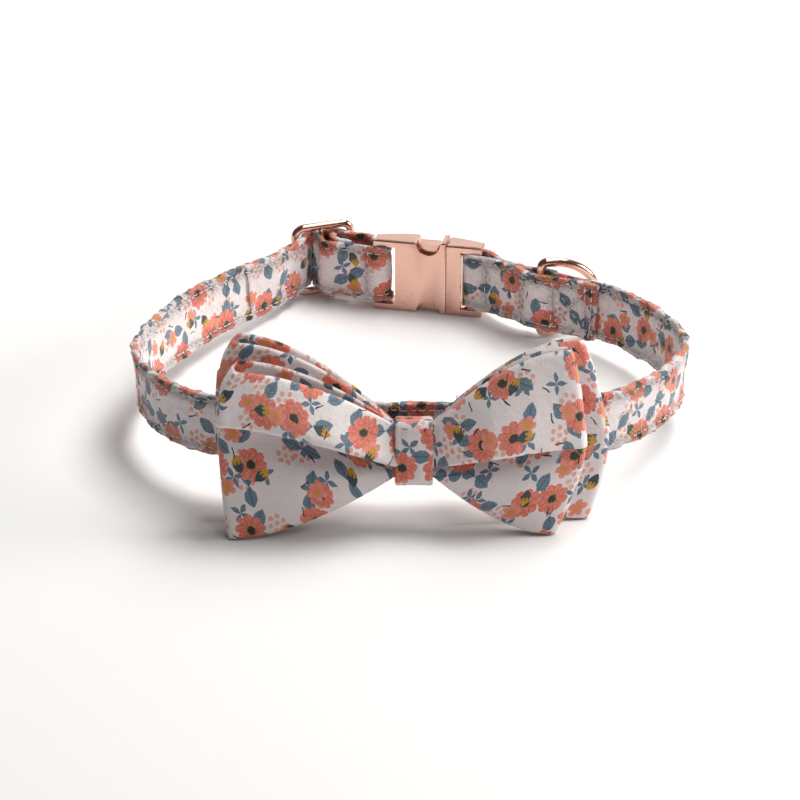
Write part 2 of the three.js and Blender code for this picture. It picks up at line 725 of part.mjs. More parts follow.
// Knot: a band round the pinched loops, open at both sides
function knot() {
  const room = bowSheet / 2 + fitGap;
  const [back, front] = [-stackDepth - room, room];
  const half = pinchHalf + fitGap;
  const ringShape = (grow) => {
    const shape = new THREE.Shape();
    const r = grow + knotCorner;
    const [x0, x1, y1] = [back - grow, front + grow, half + grow];
    shape.moveTo(x0 + r, -y1);
    shape.lineTo(x1 - r, -y1);
    shape.quadraticCurveTo(x1, -y1, x1, -y1 + r);
    shape.quadraticCurveTo(x1 + grow * knotSwell, 0, x1, y1 - r);
    shape.quadraticCurveTo(x1, y1, x1 - r, y1);
    shape.lineTo(x0 + r, y1);
    shape.quadraticCurveTo(x0, y1, x0, y1 - r);
    shape.lineTo(x0, -y1 + r);
    shape.quadraticCurveTo(x0, -y1, x0 + r, -y1);
    return shape;
  };
  const outline = ringShape(knotWall);
  outline.holes.push(new THREE.Path(ringShape(0).getPoints(knotCuts)));
  const run = { depth: knotWidth, bevelEnabled: false, curveSegments: knotCuts };
  const geometry = new THREE.ExtrudeGeometry(outline, run);
  geometry.translate(0, 0, -knotWidth / 2);
  const place = new THREE.Matrix4().makeBasis(bowForward, bowUp, new THREE.Vector3(-1, 0, 0));
  geometry.applyMatrix4(place.setPosition(bowX, bowY, bowZ));
  return geometry;
}

// Keeper: two loops round the strap joined by a flat strip behind the knot
function keeper() {
  const middle = strapHeightAt(-loopDepth / 2);
  const rows = [-1, 1].map((side) => bowX + side * keeperSpread);
  const half = strapWidth / 2 + fitGap;
  const inner = (x) => frontAt(x) + halfStrap + fitGap;
  const outer = (x) => frontAt(x) - halfStrap - fitGap;
  const strip = (low, high, y0, y1, z) => box([low, y0 - keeperWall, middle - z], [high, y1, middle + z]);
  const stripFace = Math.min(outer(rows[0]), outer(rows[1]), frontFace - fitGap);
  let band = box(
    [rows[0] - keeperBand / 2, stripFace - keeperWall, middle - keeperBand / 2],
    [rows[1] + keeperBand / 2, stripFace, middle + keeperBand / 2],
  );
  for (const x of rows) {
    const [low, high] = [x - keeperBand / 2, x + keeperBand / 2];
    const deep = Math.max(inner(low), inner(high));
    const shell = strip(low, high, stripFace, deep + keeperWall, half + keeperWall);
    const hole = box([low - over, stripFace, middle - half], [high + over, deep, middle + half]);
    band = band.add(shell.subtract(hole));
  }
  return band;
}

// How far forward the strap's line is at a place across the front
function frontAt(x) {
  const near = strapLine.filter((p) => p.y < 0).sort((a, b) => Math.abs(a.x - x) - Math.abs(b.x - x));
  const [a, b] = near;
  return Math.abs(a.x - b.x) < 1e-6 ? a.y : mix(a.y, b.y, (x - a.x) / (b.x - a.x));
}

// Finishes
const cotton = () => new THREE.MeshStandardMaterial({ color: 0xeadfdb, roughness: 0.75, metalness: 0 });
const elastic = () => new THREE.MeshStandardMaterial({ color: 0xf1efec, roughness: 0.85, metalness: 0 });
const roseGold = () => new THREE.MeshStandardMaterial({ color: 0xe0ab98, roughness: 0.18, metalness: 1 });

const collar = new THREE.Group();
function piece(name, geometry, material, parent = collar) {
  const mesh = new THREE.Mesh(geometry, material);
  mesh.name = name;
  parent.add(mesh);
  return mesh;
}

piece('strap', strapGeometry(), cotton());

const buckle = new THREE.Group();
buckle.position.set(buckleOrigin.x, buckleOrigin.y, 0);
buckle.rotation.z = deg(buckleTurn);
collar.add(buckle);
piece('buckle_female', fromManifold(femaleBuckle()), roseGold(), buckle);
piece('buckle_male', fromManifold(maleBuckle()), roseGold(), buckle);

const slider = piece('adjuster', fromManifold(adjuster()), roseGold());
slider.position.set(adjusterMid.x, adjusterMid.y, adjusterMiddle);
slider.rotation.z = deg(adjusterTurn);

const ringNext = rightLengths.findIndex((s) => s >= ringPlace);
const ringShare = (ringPlace - rightLengths[ringNext - 1]) / (rightLengths[ringNext] - rightLengths[ringNext - 1]);
const ringAt = rightPoints[ringNext - 1].clone().lerp(rightPoints[ringNext], ringShare);
const ring = piece('lead_ring', leadRing(), roseGold());
ring.position.set(ringAt.x, ringAt.y, ringMiddle);
ring.rotation.z = deg(ringTurn);

const loopShapes = {
  front: {
    setBack: 0,
    pinch: sheetSpacing + foldDepth,
    pleat: 1,
    bulge: 1,
    left: { longer: 0, taller: 0, tipBack: -frontLeftForward, opening: frontLeftOpening, rise: frontLeftRise },
    right: { longer: 0, taller: 0, tipBack: -frontRightForward, opening: frontRightOpening, rise: rightRise },
  },
  back: {
    setBack: 2 * sheetSpacing + foldDepth,
    pinch: sheetSpacing,
    pleat: backPleat,
    bulge: backSwell,
    left: {
      longer: backLeftLonger,
      taller: backLeftTaller,
      tipBack: backLeftBehind,
      opening: backLeftOpening,
      rise: backLeftRise,
    },
    right: {
      longer: backRightLonger,
      taller: backRightTaller,
      tipBack: backRightBehind,
      opening: backRightOpening,
      rise: rightRise,
    },
  },
};
piece('bow_front_loop', bowLoop(loopShapes.front), cotton());
piece('bow_back_loop', bowLoop(loopShapes.back), cotton());
piece('bow_knot', knot(), cotton());
piece('bow_keeper', fromManifold(keeper()), elastic());

// The collar's origin is the middle of its footprint on the floor
const extent = new THREE.Box3().setFromObject(collar);
collar.position.set(-(extent.min.x + extent.max.x) / 2, -(extent.min.y + extent.max.y) / 2, -extent.min.z);

export default collar;
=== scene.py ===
# Pet bow tie collar: printed cotton strap and bow, polished rose gold buckle, slide and lead ring.
# Metres, +Z up, the bow towards -Y. Lengths in the dictionaries are millimetres unless a note says other.

import bpy
import bmesh
import math
import numpy as np
from functools import partial
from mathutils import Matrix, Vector, noise


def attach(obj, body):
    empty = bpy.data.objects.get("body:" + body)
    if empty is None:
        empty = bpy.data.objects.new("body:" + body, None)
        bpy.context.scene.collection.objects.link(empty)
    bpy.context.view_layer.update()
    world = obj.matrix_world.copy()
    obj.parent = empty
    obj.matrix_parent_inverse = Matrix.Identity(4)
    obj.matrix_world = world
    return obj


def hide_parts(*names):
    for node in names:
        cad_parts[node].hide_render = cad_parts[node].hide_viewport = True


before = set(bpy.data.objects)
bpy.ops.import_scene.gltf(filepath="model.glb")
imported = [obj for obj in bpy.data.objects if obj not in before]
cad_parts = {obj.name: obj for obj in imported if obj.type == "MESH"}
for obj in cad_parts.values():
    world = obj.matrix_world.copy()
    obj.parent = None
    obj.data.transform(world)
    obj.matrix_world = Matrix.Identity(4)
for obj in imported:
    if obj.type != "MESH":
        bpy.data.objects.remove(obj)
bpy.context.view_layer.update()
mm = 0.001
print("frame loaded:", sorted(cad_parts))


# studio first: camera, floor and lights

studio = {
    "cameraPlace": (-3.557, -896.6, 438.4),
    "cameraTilt": 64.0,            # degrees from straight down
    "lens": 140.85,                # on a 36 mm sensor
    "floorSize": 6000,
    "worldColour": "#F4F3F3",
    "worldStrength": 0.1,
}

lights = [
    # name, place, aimed at, size, watts, colour
    ("overheadSoftbox", (380, 230, 1000), (0, 0, 10), (560, 560), 8.6, "#FFFDFA"),
    ("rightSoftbox", (1000, 60, 360), (0, 0, 20), (420, 380), 6.0, "#FFFCF8"),
    ("backSoftbox", (350, 700, 900), (0, 0, 10), (480, 480), 3.4, "#FFFEFB"),
    ("frontReflector", (560, -560, 1080), (0, 0, 10), (520, 420), 1.7, "#FBFBFF"),
    ("backCard", (0, 1500, 650), (0, 0, 10), (2600, 1100), 8.5, "#FFFFFF"),
]


def linear(hexColour):
    # sRGB hex to the linear values that the shaders take
    parts = [int(hexColour[i:i + 2], 16) / 255 for i in (1, 3, 5)]
    return tuple(c / 12.92 if c <= 0.04045 else ((c + 0.055) / 1.055) ** 2.4 for c in parts) + (1.0,)


def plug(node, inputs):
    # gives a node's inputs their values, or links them to nodes and sockets
    for socket, value in inputs.items():
        if isinstance(value, bpy.types.Node):
            value = next(s for s in value.outputs if s.enabled)
        if isinstance(value, bpy.types.NodeSocket):
            node.id_data.links.new(value, node.inputs[socket])
        else:
            node.inputs[socket].default_value = value


def addNode(tree, kind, *inputs, **settings):
    # one node with its settings, and its inputs in order or in a dictionary
    # a kind in capitals is the operation of a Math node
    if kind.isupper():
        kind, settings = "ShaderNodeMath", {"operation": kind}
    node = tree.nodes.new(kind)
    for key, value in settings.items():
        setattr(node, key, value)
    plug(node, inputs[0] if inputs and isinstance(inputs[0], dict) else dict(enumerate(inputs)))
    return node


def newMaterial(name):
    made = bpy.data.materials.new(name)
    made.use_nodes = True
    made.node_tree.nodes.clear()
    add = partial(addNode, made.node_tree)
    shader = add("ShaderNodeBsdfPrincipled")
    add("ShaderNodeOutputMaterial", {"Surface": shader})
    return made, add, shader


def newObject(name, data):
    made = bpy.data.objects.new(name, data)
    bpy.context.scene.collection.objects.link(made)
    return made


def makeStudio():
    # white photo paper, brushed by soft light, so it shows almost no texture
    paper, add, shader = newMaterial("matt white background paper")
    place = add("ShaderNodeTexCoord").outputs["Object"]
    grain = add("ShaderNodeTexNoise", {"Vector": place, "Scale": 900.0, "Detail": 3.0})
    tone = add("ShaderNodeMix", {0: grain, 6: linear("#FCFBFA"), 7: linear("#FFFFFF")}, data_type="RGBA")
    plug(shader, {"Base Color": tone, "Roughness": 0.8, "Specular IOR Level": 0.2})
    half = studio["floorSize"] / 2 * mm
    mesh = bpy.data.meshes.new("floor")
    mesh.from_pydata([(-half, -half, 0), (half, -half, 0), (half, half, 0), (-half, half, 0)], [], [(0, 1, 2, 3)])
    mesh.materials.append(paper)
    newObject("floor", mesh)

    scene = bpy.context.scene
    scene.world = bpy.data.worlds.new("white studio")
    scene.world.use_nodes = True
    plug(scene.world.node_tree.nodes["Background"],
         {"Color": linear(studio["worldColour"]), "Strength": studio["worldStrength"]})

    for name, place, aim, size, watts, colour in lights:
        data = bpy.data.lights.new(name, "AREA")
        data.shape = "RECTANGLE"
        data.size, data.size_y = size[0] * mm, size[1] * mm
        data.energy = watts
        data.color = linear(colour)[:3]
        lamp = newObject(name, data)
        lamp.location = Vector(place) * mm
        lamp.rotation_euler = (Vector(aim) - Vector(place)).to_track_quat("-Z", "Y").to_euler()

    lensData = bpy.data.cameras.new("camera")
    lensData.lens = studio["lens"]
    lensData.sensor_width = 36
    camera = newObject("camera", lensData)
    camera.location = Vector(studio["cameraPlace"]) * mm
    camera.rotation_euler = (math.radians(studio["cameraTilt"]), 0, 0)
    scene.camera = camera
    scene.view_settings.view_transform = "Standard"


makeStudio()
print("studio ready")


# the print on the cotton: small motifs scattered over the cloth's own millimetres

fullTurn = 6.283                   # radians

printWork = {
    "ground": "#FDF4F3",
    "groundShade": "#F8ECEC",
    "coral": "#F4806C",
    "coralDark": "#E0604F",
    "coralPale": "#F8A791",
    "blush": "#F7BDAC",
    "leaf": "#859DAF",
    "leafMiddle": "#6C8595",
    "leafDark": "#48637A",
    "ink": "#23262B",
    "teal": "#2F4B4E",
    "mustard": "#DDA22C",
    "softEdge": 0.16,              # mm over which the dye edge fades
    "waver": 0.9,                  # mm that the motifs' outlines waver
}

motifs = {
    # mm between neighbours, shift of the pattern, how far each strays, share of places left empty
    "berry": (9.4, (3.1, 8.7, 0.0), 0.75, 0.35),
    "sprig": (11.8, (41.0, 17.3, 0.0), 0.8, 0.2),
    "leaf": (13.8, (7.7, 63.0, 0.0), 0.7, 0.0),
    "daisy": (17.2, (90.0, 31.0, 0.0), 0.62, 0.0),
    "blossom": (13.4, (55.0, 77.0, 0.0), 0.7, 0.3),
    "tulip": (17.5, (23.0, 120.0, 0.0), 0.75, 0.0),
    "seed": (8.2, (70.0, 5.0, 0.0), 0.9, 0.62),
}


def printGroup():
    # cloth place in metres in, colour of the dyed cloth out
    tree = bpy.data.node_groups.new("small flower print", "ShaderNodeTree")
    tree.interface.new_socket("Cloth place", in_out="INPUT", socket_type="NodeSocketVector")
    tree.interface.new_socket("Colour", in_out="OUTPUT", socket_type="NodeSocketColor")
    add = partial(addNode, tree)
    inMm = add("ShaderNodeVectorMath", {0: add("NodeGroupInput"), "Scale": 1000.0}, operation="SCALE")
    wobble = add("ShaderNodeTexNoise", {"Vector": inMm, "Scale": 0.55, "Detail": 1.0})
    shift = add("ShaderNodeVectorMath", wobble.outputs["Color"], (0.5, 0.5, 0.5), operation="SUBTRACT")
    waver = (printWork["waver"], printWork["waver"], 0.0)
    place = add("ShaderNodeVectorMath", shift, waver, inMm, operation="MULTIPLY_ADD")
    dyes = {name: linear(value) for name, value in printWork.items() if isinstance(value, str)}

    def scattered(motif):
        # the motif's own place in each cell, turned by a random angle, and whether the cell is filled
        spacing, offset, jitter, empty = motifs[motif]
        moved = add("ShaderNodeVectorMath", place, offset)
        cell = add(
            "ShaderNodeTexVoronoi", {"Vector": moved, "Scale": 1.0 / spacing, "Randomness": jitter},
            voronoi_dimensions="2D")
        local = add("ShaderNodeVectorMath", moved, cell.outputs["Position"], operation="SUBTRACT")
        chance = add("ShaderNodeSeparateColor", cell.outputs["Color"]).outputs
        angle = add("MULTIPLY", chance[0], fullTurn)
        laid = add("ShaderNodeVectorRotate", {"Vector": local, "Angle": angle}, rotation_type="Z_AXIS")
        x, y, _ = add("ShaderNodeSeparateXYZ", laid).outputs
        return {
            "x": x, "y": y, "far": add("ShaderNodeVectorMath", laid, operation="LENGTH").outputs["Value"],
            "angle": add("ARCTAN2", y, x), "chance": chance[1], "other": chance[2],
            "filled": add("GREATER_THAN", chance[1], empty),
        }

    def inside(value, edge):
        # 1 where value is under edge, with a soft dye edge
        soft = printWork["softEdge"] / 2
        return add(
            "ShaderNodeMapRange", value, add("SUBTRACT", edge, soft), add("ADD", edge, soft), 1.0, 0.0,
            interpolation_type="SMOOTHSTEP")

    def allOf(first, *others):
        # a mask that holds where every one of these does
        for mask in others:
            first = add("MULTIPLY", first, mask)
        return first

    def dyed(colour, *coats):
        # further coats of dye over a colour, each where its mask says
        for mask, over in coats:
            colour = add("ShaderNodeMix", {0: mask, 6: colour, 7: over}, data_type="RGBA")
        return colour

    shade = add("ShaderNodeTexNoise", {"Vector": inMm, "Scale": 0.07, "Detail": 2.0})
    brush = add("ShaderNodeTexNoise", {"Vector": inMm, "Scale": 1.6, "Detail": 2.0})
    coats = [(shade, dyes["groundShade"])]

    # berries: a ring of six dots round a paler one
    berry = scattered("berry")
    sixth = add("SUBTRACT", add("PINGPONG", berry["angle"], math.radians(60)), math.radians(30))
    across = add("MULTIPLY", berry["far"], add("SINE", sixth))
    outward = add("SUBTRACT", add("MULTIPLY", berry["far"], add("COSINE", sixth)), 2.25)
    dot = add("SQRT", add("ADD", add("MULTIPLY", across, across), add("MULTIPLY", outward, outward)))
    coats.append((allOf(inside(dot, 0.74), berry["filled"]), dyed(dyes["blush"], (berry["other"], dyes["coralPale"]))))
    coats.append((allOf(inside(berry["far"], 0.7), berry["filled"]), dyes["blush"]))

    # small leaf sprigs: four narrow leaves in a cross
    sprig = scattered("sprig")
    eighth = add("PINGPONG", sprig["angle"], math.radians(45))
    reach = add("MULTIPLY", sprig["far"], add("COSINE", eighth))
    width = add("MULTIPLY", sprig["far"], add("SINE", eighth))
    leafEdge = add("MULTIPLY", add("SINE", add("MULTIPLY", reach, 0.92)), 0.74)
    sprigMask = allOf(inside(width, leafEdge), inside(reach, 3.3), sprig["filled"])
    coats.append((sprigMask, dyed(dyes["leaf"], (brush, dyes["leafDark"]))))

    # broad veined leaves in pairs
    leaf = scattered("leaf")
    side, rib = add("ABSOLUTE", leaf["x"]), add("ABSOLUTE", leaf["y"])
    leafEdge = add("MULTIPLY", add("SINE", add("MULTIPLY", add("MULTIPLY", side, 1.0 / 6.6), math.pi)), 1.95)
    vein = allOf(inside(rib, 0.16), inside(side, 5.6))
    slant = add("ADD", add("MULTIPLY", side, 1.35), add("MULTIPLY", rib, -1.1))
    comb = inside(add("PINGPONG", slant, 0.62), 0.22)
    coats.append((allOf(inside(rib, leafEdge), inside(side, 6.5)), dyed(
        dyes["leaf"], (brush, dyes["leafMiddle"]), (allOf(comb, 0.85), dyes["leafDark"]), (vein, dyes["leafDark"]))))

    # big daisies: nine petals, streaked, with a dark seeded middle
    daisy = scattered("daisy")
    size = add("MULTIPLY_ADD", daisy["chance"], 1.1, 4.2)
    petal = add("ABSOLUTE", add("SINE", add("MULTIPLY", daisy["angle"], 4.5)))
    rim = add("MULTIPLY", size, add("MULTIPLY_ADD", add("POWER", petal, 0.55), 0.24, 0.78))
    gap = allOf(inside(petal, 0.16), add("GREATER_THAN", daisy["far"], 1.7), 0.8)
    share = add("POWER", add("DIVIDE", daisy["far"], size), 1.5)
    turnedRays, longRays = add("MULTIPLY", daisy["angle"], 5.0), add("MULTIPLY", daisy["far"], 0.5)
    rays = add("ShaderNodeCombineXYZ", turnedRays, longRays, daisy["other"])
    streak = add("ShaderNodeTexNoise", {"Vector": rays, "Scale": 1.6, "Detail": 1.0})
    coats.append((inside(daisy["far"], rim), dyed(
        dyes["coralDark"], (share, dyes["coral"]), (allOf(inside(streak, 0.48), 0.7), dyes["coralPale"]),
        (gap, dyes["coralDark"]))))
    coats.append((inside(daisy["far"], 1.5), dyes["ink"]))
    grains = add("ShaderNodeTexVoronoi", {"Vector": place, "Scale": 2.2}, voronoi_dimensions="2D")
    grainRing = allOf(inside(daisy["far"], 1.75), add("GREATER_THAN", daisy["far"], 1.2))
    coats.append((allOf(grainRing, inside(grains.outputs["Distance"], 0.34)), dyes["mustard"]))

    # pale small blossoms with five round petals
    blossom = scattered("blossom")
    fifth = add("ABSOLUTE", add("COSINE", add("MULTIPLY", blossom["angle"], 2.5)))
    petalRim = add("MULTIPLY_ADD", add("SQRT", fifth), 1.5, 1.35)
    paling = (add("MULTIPLY", blossom["far"], 0.3), dyes["coralPale"])
    coats.append((allOf(inside(blossom["far"], petalRim), blossom["filled"]), dyed(dyes["coral"], paling)))
    coats.append((allOf(inside(blossom["far"], 0.85), blossom["filled"]), dyes["mustard"]))

    # mustard tulips: a pointed cup on a teal base
    tulip = scattered("tulip")
    rise = add("MULTIPLY_ADD", tulip["y"], 1.0 / 5.6, 0.5)
    rise = add("MINIMUM", add("MAXIMUM", rise, 0.0), 1.0)
    cupEdge = add("MULTIPLY", add("SINE", add("MULTIPLY", rise, math.pi)), 1.75)
    tulipMask = allOf(inside(add("ABSOLUTE", tulip["x"]), cupEdge), inside(add("ABSOLUTE", tulip["y"]), 2.75))
    notch = inside(add("PINGPONG", tulip["x"], 0.55), 0.2)
    base = inside(add("ADD", tulip["y"], add("MULTIPLY", notch, -0.9)), 0.0)
    coats.append((tulipMask, dyed(dyes["mustard"], (base, dyes["teal"]))))

    # short dark seeds strewn between
    seed = scattered("seed")
    seedMask = allOf(inside(add("ABSOLUTE", seed["y"]), 0.2), inside(add("ABSOLUTE", seed["x"]), 1.5), seed["filled"])
    coats.append((seedMask, dyes["ink"]))

    add("NodeGroupOutput", {"Colour": dyed(dyes["ground"], *coats)})
    return tree


flowerPrint = printGroup()

cottonWork = {
    "threadPitch": 0.52,           # real poplin is near 0.25, too fine to show here
    "roughness": 0.46,
    "sheen": 0.3,
    "puckerShare": 2.2,            # how much deeper the cloth folds beside its seams
    "paintedNeedleShade": 0.36,           # how dark the painted shade on the needle line and in the small folds at a seam is
    "paintedFoldShade": 0.18,
}


def cottonMaterial(name, offset, crumpled, sewnIn=False):
    # plain woven cotton, mercerised and printed: a faint thread grain that sparkles a little, dye sunk in
    w = cottonWork
    made, add, shader = newMaterial(name)
    place = add("ShaderNodeVectorMath", add("ShaderNodeUVMap", uv_map="cloth"), offset)
    colour = add("ShaderNodeGroup", place, node_tree=flowerPrint)
    inMm = add("ShaderNodeVectorMath", {0: place, "Scale": 1000.0}, operation="SCALE")
    x, y, _ = add("ShaderNodeSeparateXYZ", inMm).outputs
    warp, weft = (add("SINE", add("MULTIPLY", part, fullTurn / w["threadPitch"])) for part in (x, y))
    slub = add("ShaderNodeTexNoise", {"Vector": inMm, "Scale": 2.2, "Detail": 4.0, "Roughness": 0.7})
    threads = add("MULTIPLY_ADD", slub, 3.2, add("MULTIPLY", warp, weft))
    lift = add("ShaderNodeMapRange", threads, 0.1, 3.1, 0.8, 1.2)
    tinted = add("ShaderNodeVectorMath", {0: colour, "Scale": lift}, operation="SCALE")
    gloss = add("ShaderNodeMapRange", slub, 0.3, 0.7, w["roughness"] - 0.16, w["roughness"] + 0.14)
    crumple = add(
        "ShaderNodeTexNoise", {"Vector": inMm, "Scale": 0.42, "Detail": 3.0, "Roughness": 0.6, "Distortion": 0.6})
    height = crumple
    if sewnIn:
        # near a seam the cloth is drawn into short folds by a bump, and the shade on the needle line and in the fold
        # valleys is painted into the colour
        seamPullAndShade = add("ShaderNodeAttribute", attribute_name="seamPullAndShade").outputs["Fac"]
        folds = add(
            "ShaderNodeTexNoise", {"Vector": inMm, "Scale": 0.95, "Detail": 2.0, "Roughness": 0.5, "Distortion": 1.2})
        height = add("MULTIPLY_ADD", add("MULTIPLY", seamPullAndShade, folds), w["puckerShare"], crumple)
        # painted shade: the needle line and the fold valleys darken the printed colour
        line = add("MULTIPLY", add("POWER", seamPullAndShade, 9.0), w["paintedNeedleShade"])
        crease = add("MULTIPLY", add("ShaderNodeMapRange", folds, 0.52, 0.36, 0.0, 1.0), seamPullAndShade)
        shade = add("MAXIMUM", line, add("MULTIPLY", crease, w["paintedFoldShade"]))
        light = add("SUBTRACT", 1.0, shade)
        tinted = add("ShaderNodeVectorMath", {0: tinted, "Scale": light}, operation="SCALE")
    soft = add("ShaderNodeBump", {"Height": height, "Strength": crumpled, "Distance": 0.0016})
    bump = add("ShaderNodeBump", {"Height": threads, "Strength": 0.6, "Distance": 0.00012, "Normal": soft})
    plug(shader, {
        "Base Color": tinted, "Roughness": gloss, "Normal": bump, "Sheen Weight": w["sheen"], "Sheen Roughness": 0.4})
    return made


cottonStrap = cottonMaterial("printed cotton sleeve, woven and mercerised", (0.0, 0.0, 0.0), 0.75, sewnIn=True)
cottonBow = cottonMaterial("printed cotton bow, woven, folded and pressed", (0.213, 0.117, 0.0), 0.34)
cottonKnot = cottonMaterial("printed cotton knot, woven and pressed", (0.377, 0.042, 0.0), 0.34)


def platedMetal(name, roughness):
    # cast or bent, polished, then plated rose gold: a clear warm mirror with faint polishing lines
    made, add, shader = newMaterial(name)
    place = add("ShaderNodeTexCoord").outputs["Object"]
    haze = add("ShaderNodeTexNoise", {"Vector": place, "Scale": 160.0, "Detail": 3.0})
    stretched = add("ShaderNodeMapping", {"Vector": place, "Scale": (400.0, 400.0, 4200.0)})
    lines = add("ShaderNodeTexNoise", {"Vector": stretched, "Scale": 1.0, "Detail": 2.0})
    plug(shader, {
        "Base Color": add("ShaderNodeMix", {0: haze, 6: linear("#D9AC9A"), 7: linear("#E0B6A6")}, data_type="RGBA"),
        "Roughness": add("ShaderNodeMapRange", {0: haze, 3: roughness - 0.04, 4: roughness + 0.05}),
        "Normal": add("ShaderNodeBump", {"Height": lines, "Strength": 0.05, "Distance": 0.00002}),
        "Metallic": 1.0,
    })
    return made


roseGoldCast = platedMetal("rose gold plated zinc, die cast and polished", 0.26)
roseGoldWire = platedMetal("rose gold plated steel wire, bent and polished", 0.14)


def threadMaterial():
    # twisted polyester thread: white, a little glossy, with the ply showing as slanted ridges
    made, add, shader = newMaterial("white polyester thread, twisted")
    place = add("ShaderNodeTexCoord").outputs["Object"]
    ply = add("ShaderNodeTexNoise", {"Vector": place, "Scale": 2600.0, "Detail": 2.0})
    plug(shader, {
        "Base Color": add("ShaderNodeMix", {0: ply, 6: linear("#E9E2DF"), 7: linear("#FBF8F6")}, data_type="RGBA"),
        "Normal": add("ShaderNodeBump", {"Height": ply, "Strength": 0.4, "Distance": 0.00008}),
        "Roughness": 0.5,
    })
    return made


def elasticMaterial():
    # knitted elastic tape: matt white with fine ribs, 1.1 mm apart, along its length
    made, add, shader = newMaterial("white elastic tape, knitted")
    place = add("ShaderNodeTexCoord").outputs["Object"]
    z = add("ShaderNodeSeparateXYZ", place).outputs[2]
    ribs = add("SINE", add("MULTIPLY", z, 1000 * fullTurn / 1.1))
    knit = add("ShaderNodeTexNoise", {"Vector": place, "Scale": 1500.0, "Detail": 3.0})
    height = add("MULTIPLY_ADD", knit, 1.2, ribs)
    plug(shader, {
        "Base Color": add("ShaderNodeMix", {0: knit, 6: linear("#E4E0DC"), 7: linear("#F4F1EE")}, data_type="RGBA"),
        "Normal": add("ShaderNodeBump", {"Height": height, "Strength": 0.5, "Distance": 0.0002}),
        "Roughness": 0.85,
    })
    return made


whiteThread = threadMaterial()
whiteElastic = elasticMaterial()
print("materials ready")


# the strap's way round the loop, with the same sizes as the solids

strapSize = {
    "width": 19.6, "thickness": 2.0, "layerGap": 0.35, "fitGap": 0.3,
    "loopWidth": 170.4, "loopDepth": 141.0, "frontLift": 10.2, "liftStart": 0.96, "liftPower": 1.2,
    "doubledLength": 50.0, "tailLength": 10.0, "pocketLength": 10.0, "easeLength": 24.0,
    "barPlay": 0.7, "ringPlay": 0.65, "stitchInset": 2.3, "edgeGirth": 1.2,
    "planStep": 1.4, "doubledStep": 0.9, "station": 0.62,
    # degrees round each bar at which the strap meets and leaves it, the last pair for the sewn tail
    "slideMeets": -40, "slideLeaves": -109, "barMeets": 40, "barLeaves": -106, "tailMeets": -105, "tailLeaves": -352,
    "grooveDepth": 0.34, "pucker": 0.44, "crease": 0.42, "fineCrumple": 0.22, "waver": 0.3,
    "edgeWave": 0.42, "edgeFine": 0.2,
    "turnSwell": 1.1, "turnPlace": 54.5, "turnReach": 7.0,         # where the folded end turns back
    "seamPlace": 474.0, "seamStep": 0.8, "seamFade": 26.0,         # the sleeve's cross seam inside the loop
    "doubledEnds": (52.0, 546.0), "sewnRoughness": 1.5,            # rougher before the first and after the second
    "hiddenEnds": (108.0, 546.0), "hiddenRoughness": 0.2,          # calm faces that the doubled ends hide
}

hardwareSize = {
    "slotHeight": 20.8, "buckleFlange": 2.2, "buckleLength": 37.2, "buckleBarRadius": 1.5,
    "buckleShareX": 0.072, "buckleShareY": 0.973, "buckleTurn": -12.2,
    "adjusterLength": 22.6, "adjusterRod": 2.7, "adjusterCorner": 3.2, "adjusterFloorGap": 0.2,
    "adjusterReach": 22.0, "adjusterTurn": 20.0, "adjusterBearing": 152.0,
    "ringWire": 3.2, "ringOuterHeight": 28.3, "ringDepth": 18.9, "ringHeel": 1.6, "ringPlace": 27.5,
    "ringFloorGap": 0.3, "ringTurn": 15.0,
}

# the middle of the footprint, from the loop's own middle
footShift = np.array([0.1428, 3.5965])

loopRows = [  # bearing, reach, lean
    (64, 0.872, 0), (52.4, 0.829, 0), (42.6, 0.834, 2), (33.6, 0.865, 4), (15, 0.915, 6), (-1, 0.972, 6),
    (-14.4, 1.025, 4), (-30, 1.06, 2), (-42.8, 1.09, 0), (-51.8, 1.115, 0), (-60.2, 1.095, 0), (-72.6, 1.034, 0),
    (-90, 1.0, 0), (-108.7, 1.048, 0), (-120.6, 1.12, 0), (-128, 1.154, 0), (-138, 1.143, 1), (-151, 1.095, 3),
    (-163, 1.042, 5), (-174, 0.985, 6), (-190, 0.928, 8), (-211, 0.928, 8), (-229, 0.982, 4), (-238, 1.035, 0),
]


def turned(angle, along, out):
    c, s = math.cos(math.radians(angle)), math.sin(math.radians(angle))
    return np.array([along * c - out * s, along * s + out * c])


def hill(x):
    return (1 + math.cos(math.pi * x)) / 2 if abs(x) < 1 else 0.0


def wrap(centre, radius, start, stop):
    count = max(1, round(abs(stop - start) / 28))
    angles = np.radians(np.linspace(start, stop, count + 1))
    return [centre + radius * np.array([math.cos(a), math.sin(a)]) for a in angles]


def between(a, b, along, aside):
    line = b - a
    return a + line * along + np.array([-line[1], line[0]]) * aside


def stretches(points):
    # each stretch of a line, with the points before and after it
    last = len(points) - 1
    for i in range(last):
        p1, p2 = points[i], points[i + 1]
        yield points[i - 1] if i else 2 * p1 - p2, p1, p2, points[i + 2] if i + 2 <= last else 2 * p2 - p1


def smoothLine(points, maxStep):
    # centripetal curve through the points, in even cuts of each stretch
    out = []
    for p0, p1, p2, p3 in stretches(points):
        d0, d1, d2 = (max(np.linalg.norm(b - a), 1e-6) ** 0.5 for a, b in ((p0, p1), (p1, p2), (p2, p3)))
        t1 = ((p1 - p0) / d0 - (p2 - p0) / (d0 + d1) + (p2 - p1) / d1) * d1
        t2 = ((p2 - p1) / d1 - (p3 - p1) / (d1 + d2) + (p3 - p2) / d2) * d1
        cuts = max(1, math.ceil(np.linalg.norm(p2 - p1) / maxStep))
        for k in range(cuts):
            t = k / cuts
            out.append(p1 + t1 * t + (3 * (p2 - p1) - 2 * t1 - t2) * t * t + (2 * (p1 - p2) + t1 + t2) * t ** 3)
    return np.array(out + [points[-1]])


def headingsOf(line):
    ahead = np.vstack([line[1:], line[-1:]]) - np.vstack([line[:1], line[:-1]])
    return ahead / np.linalg.norm(ahead, axis=1)[:, None]


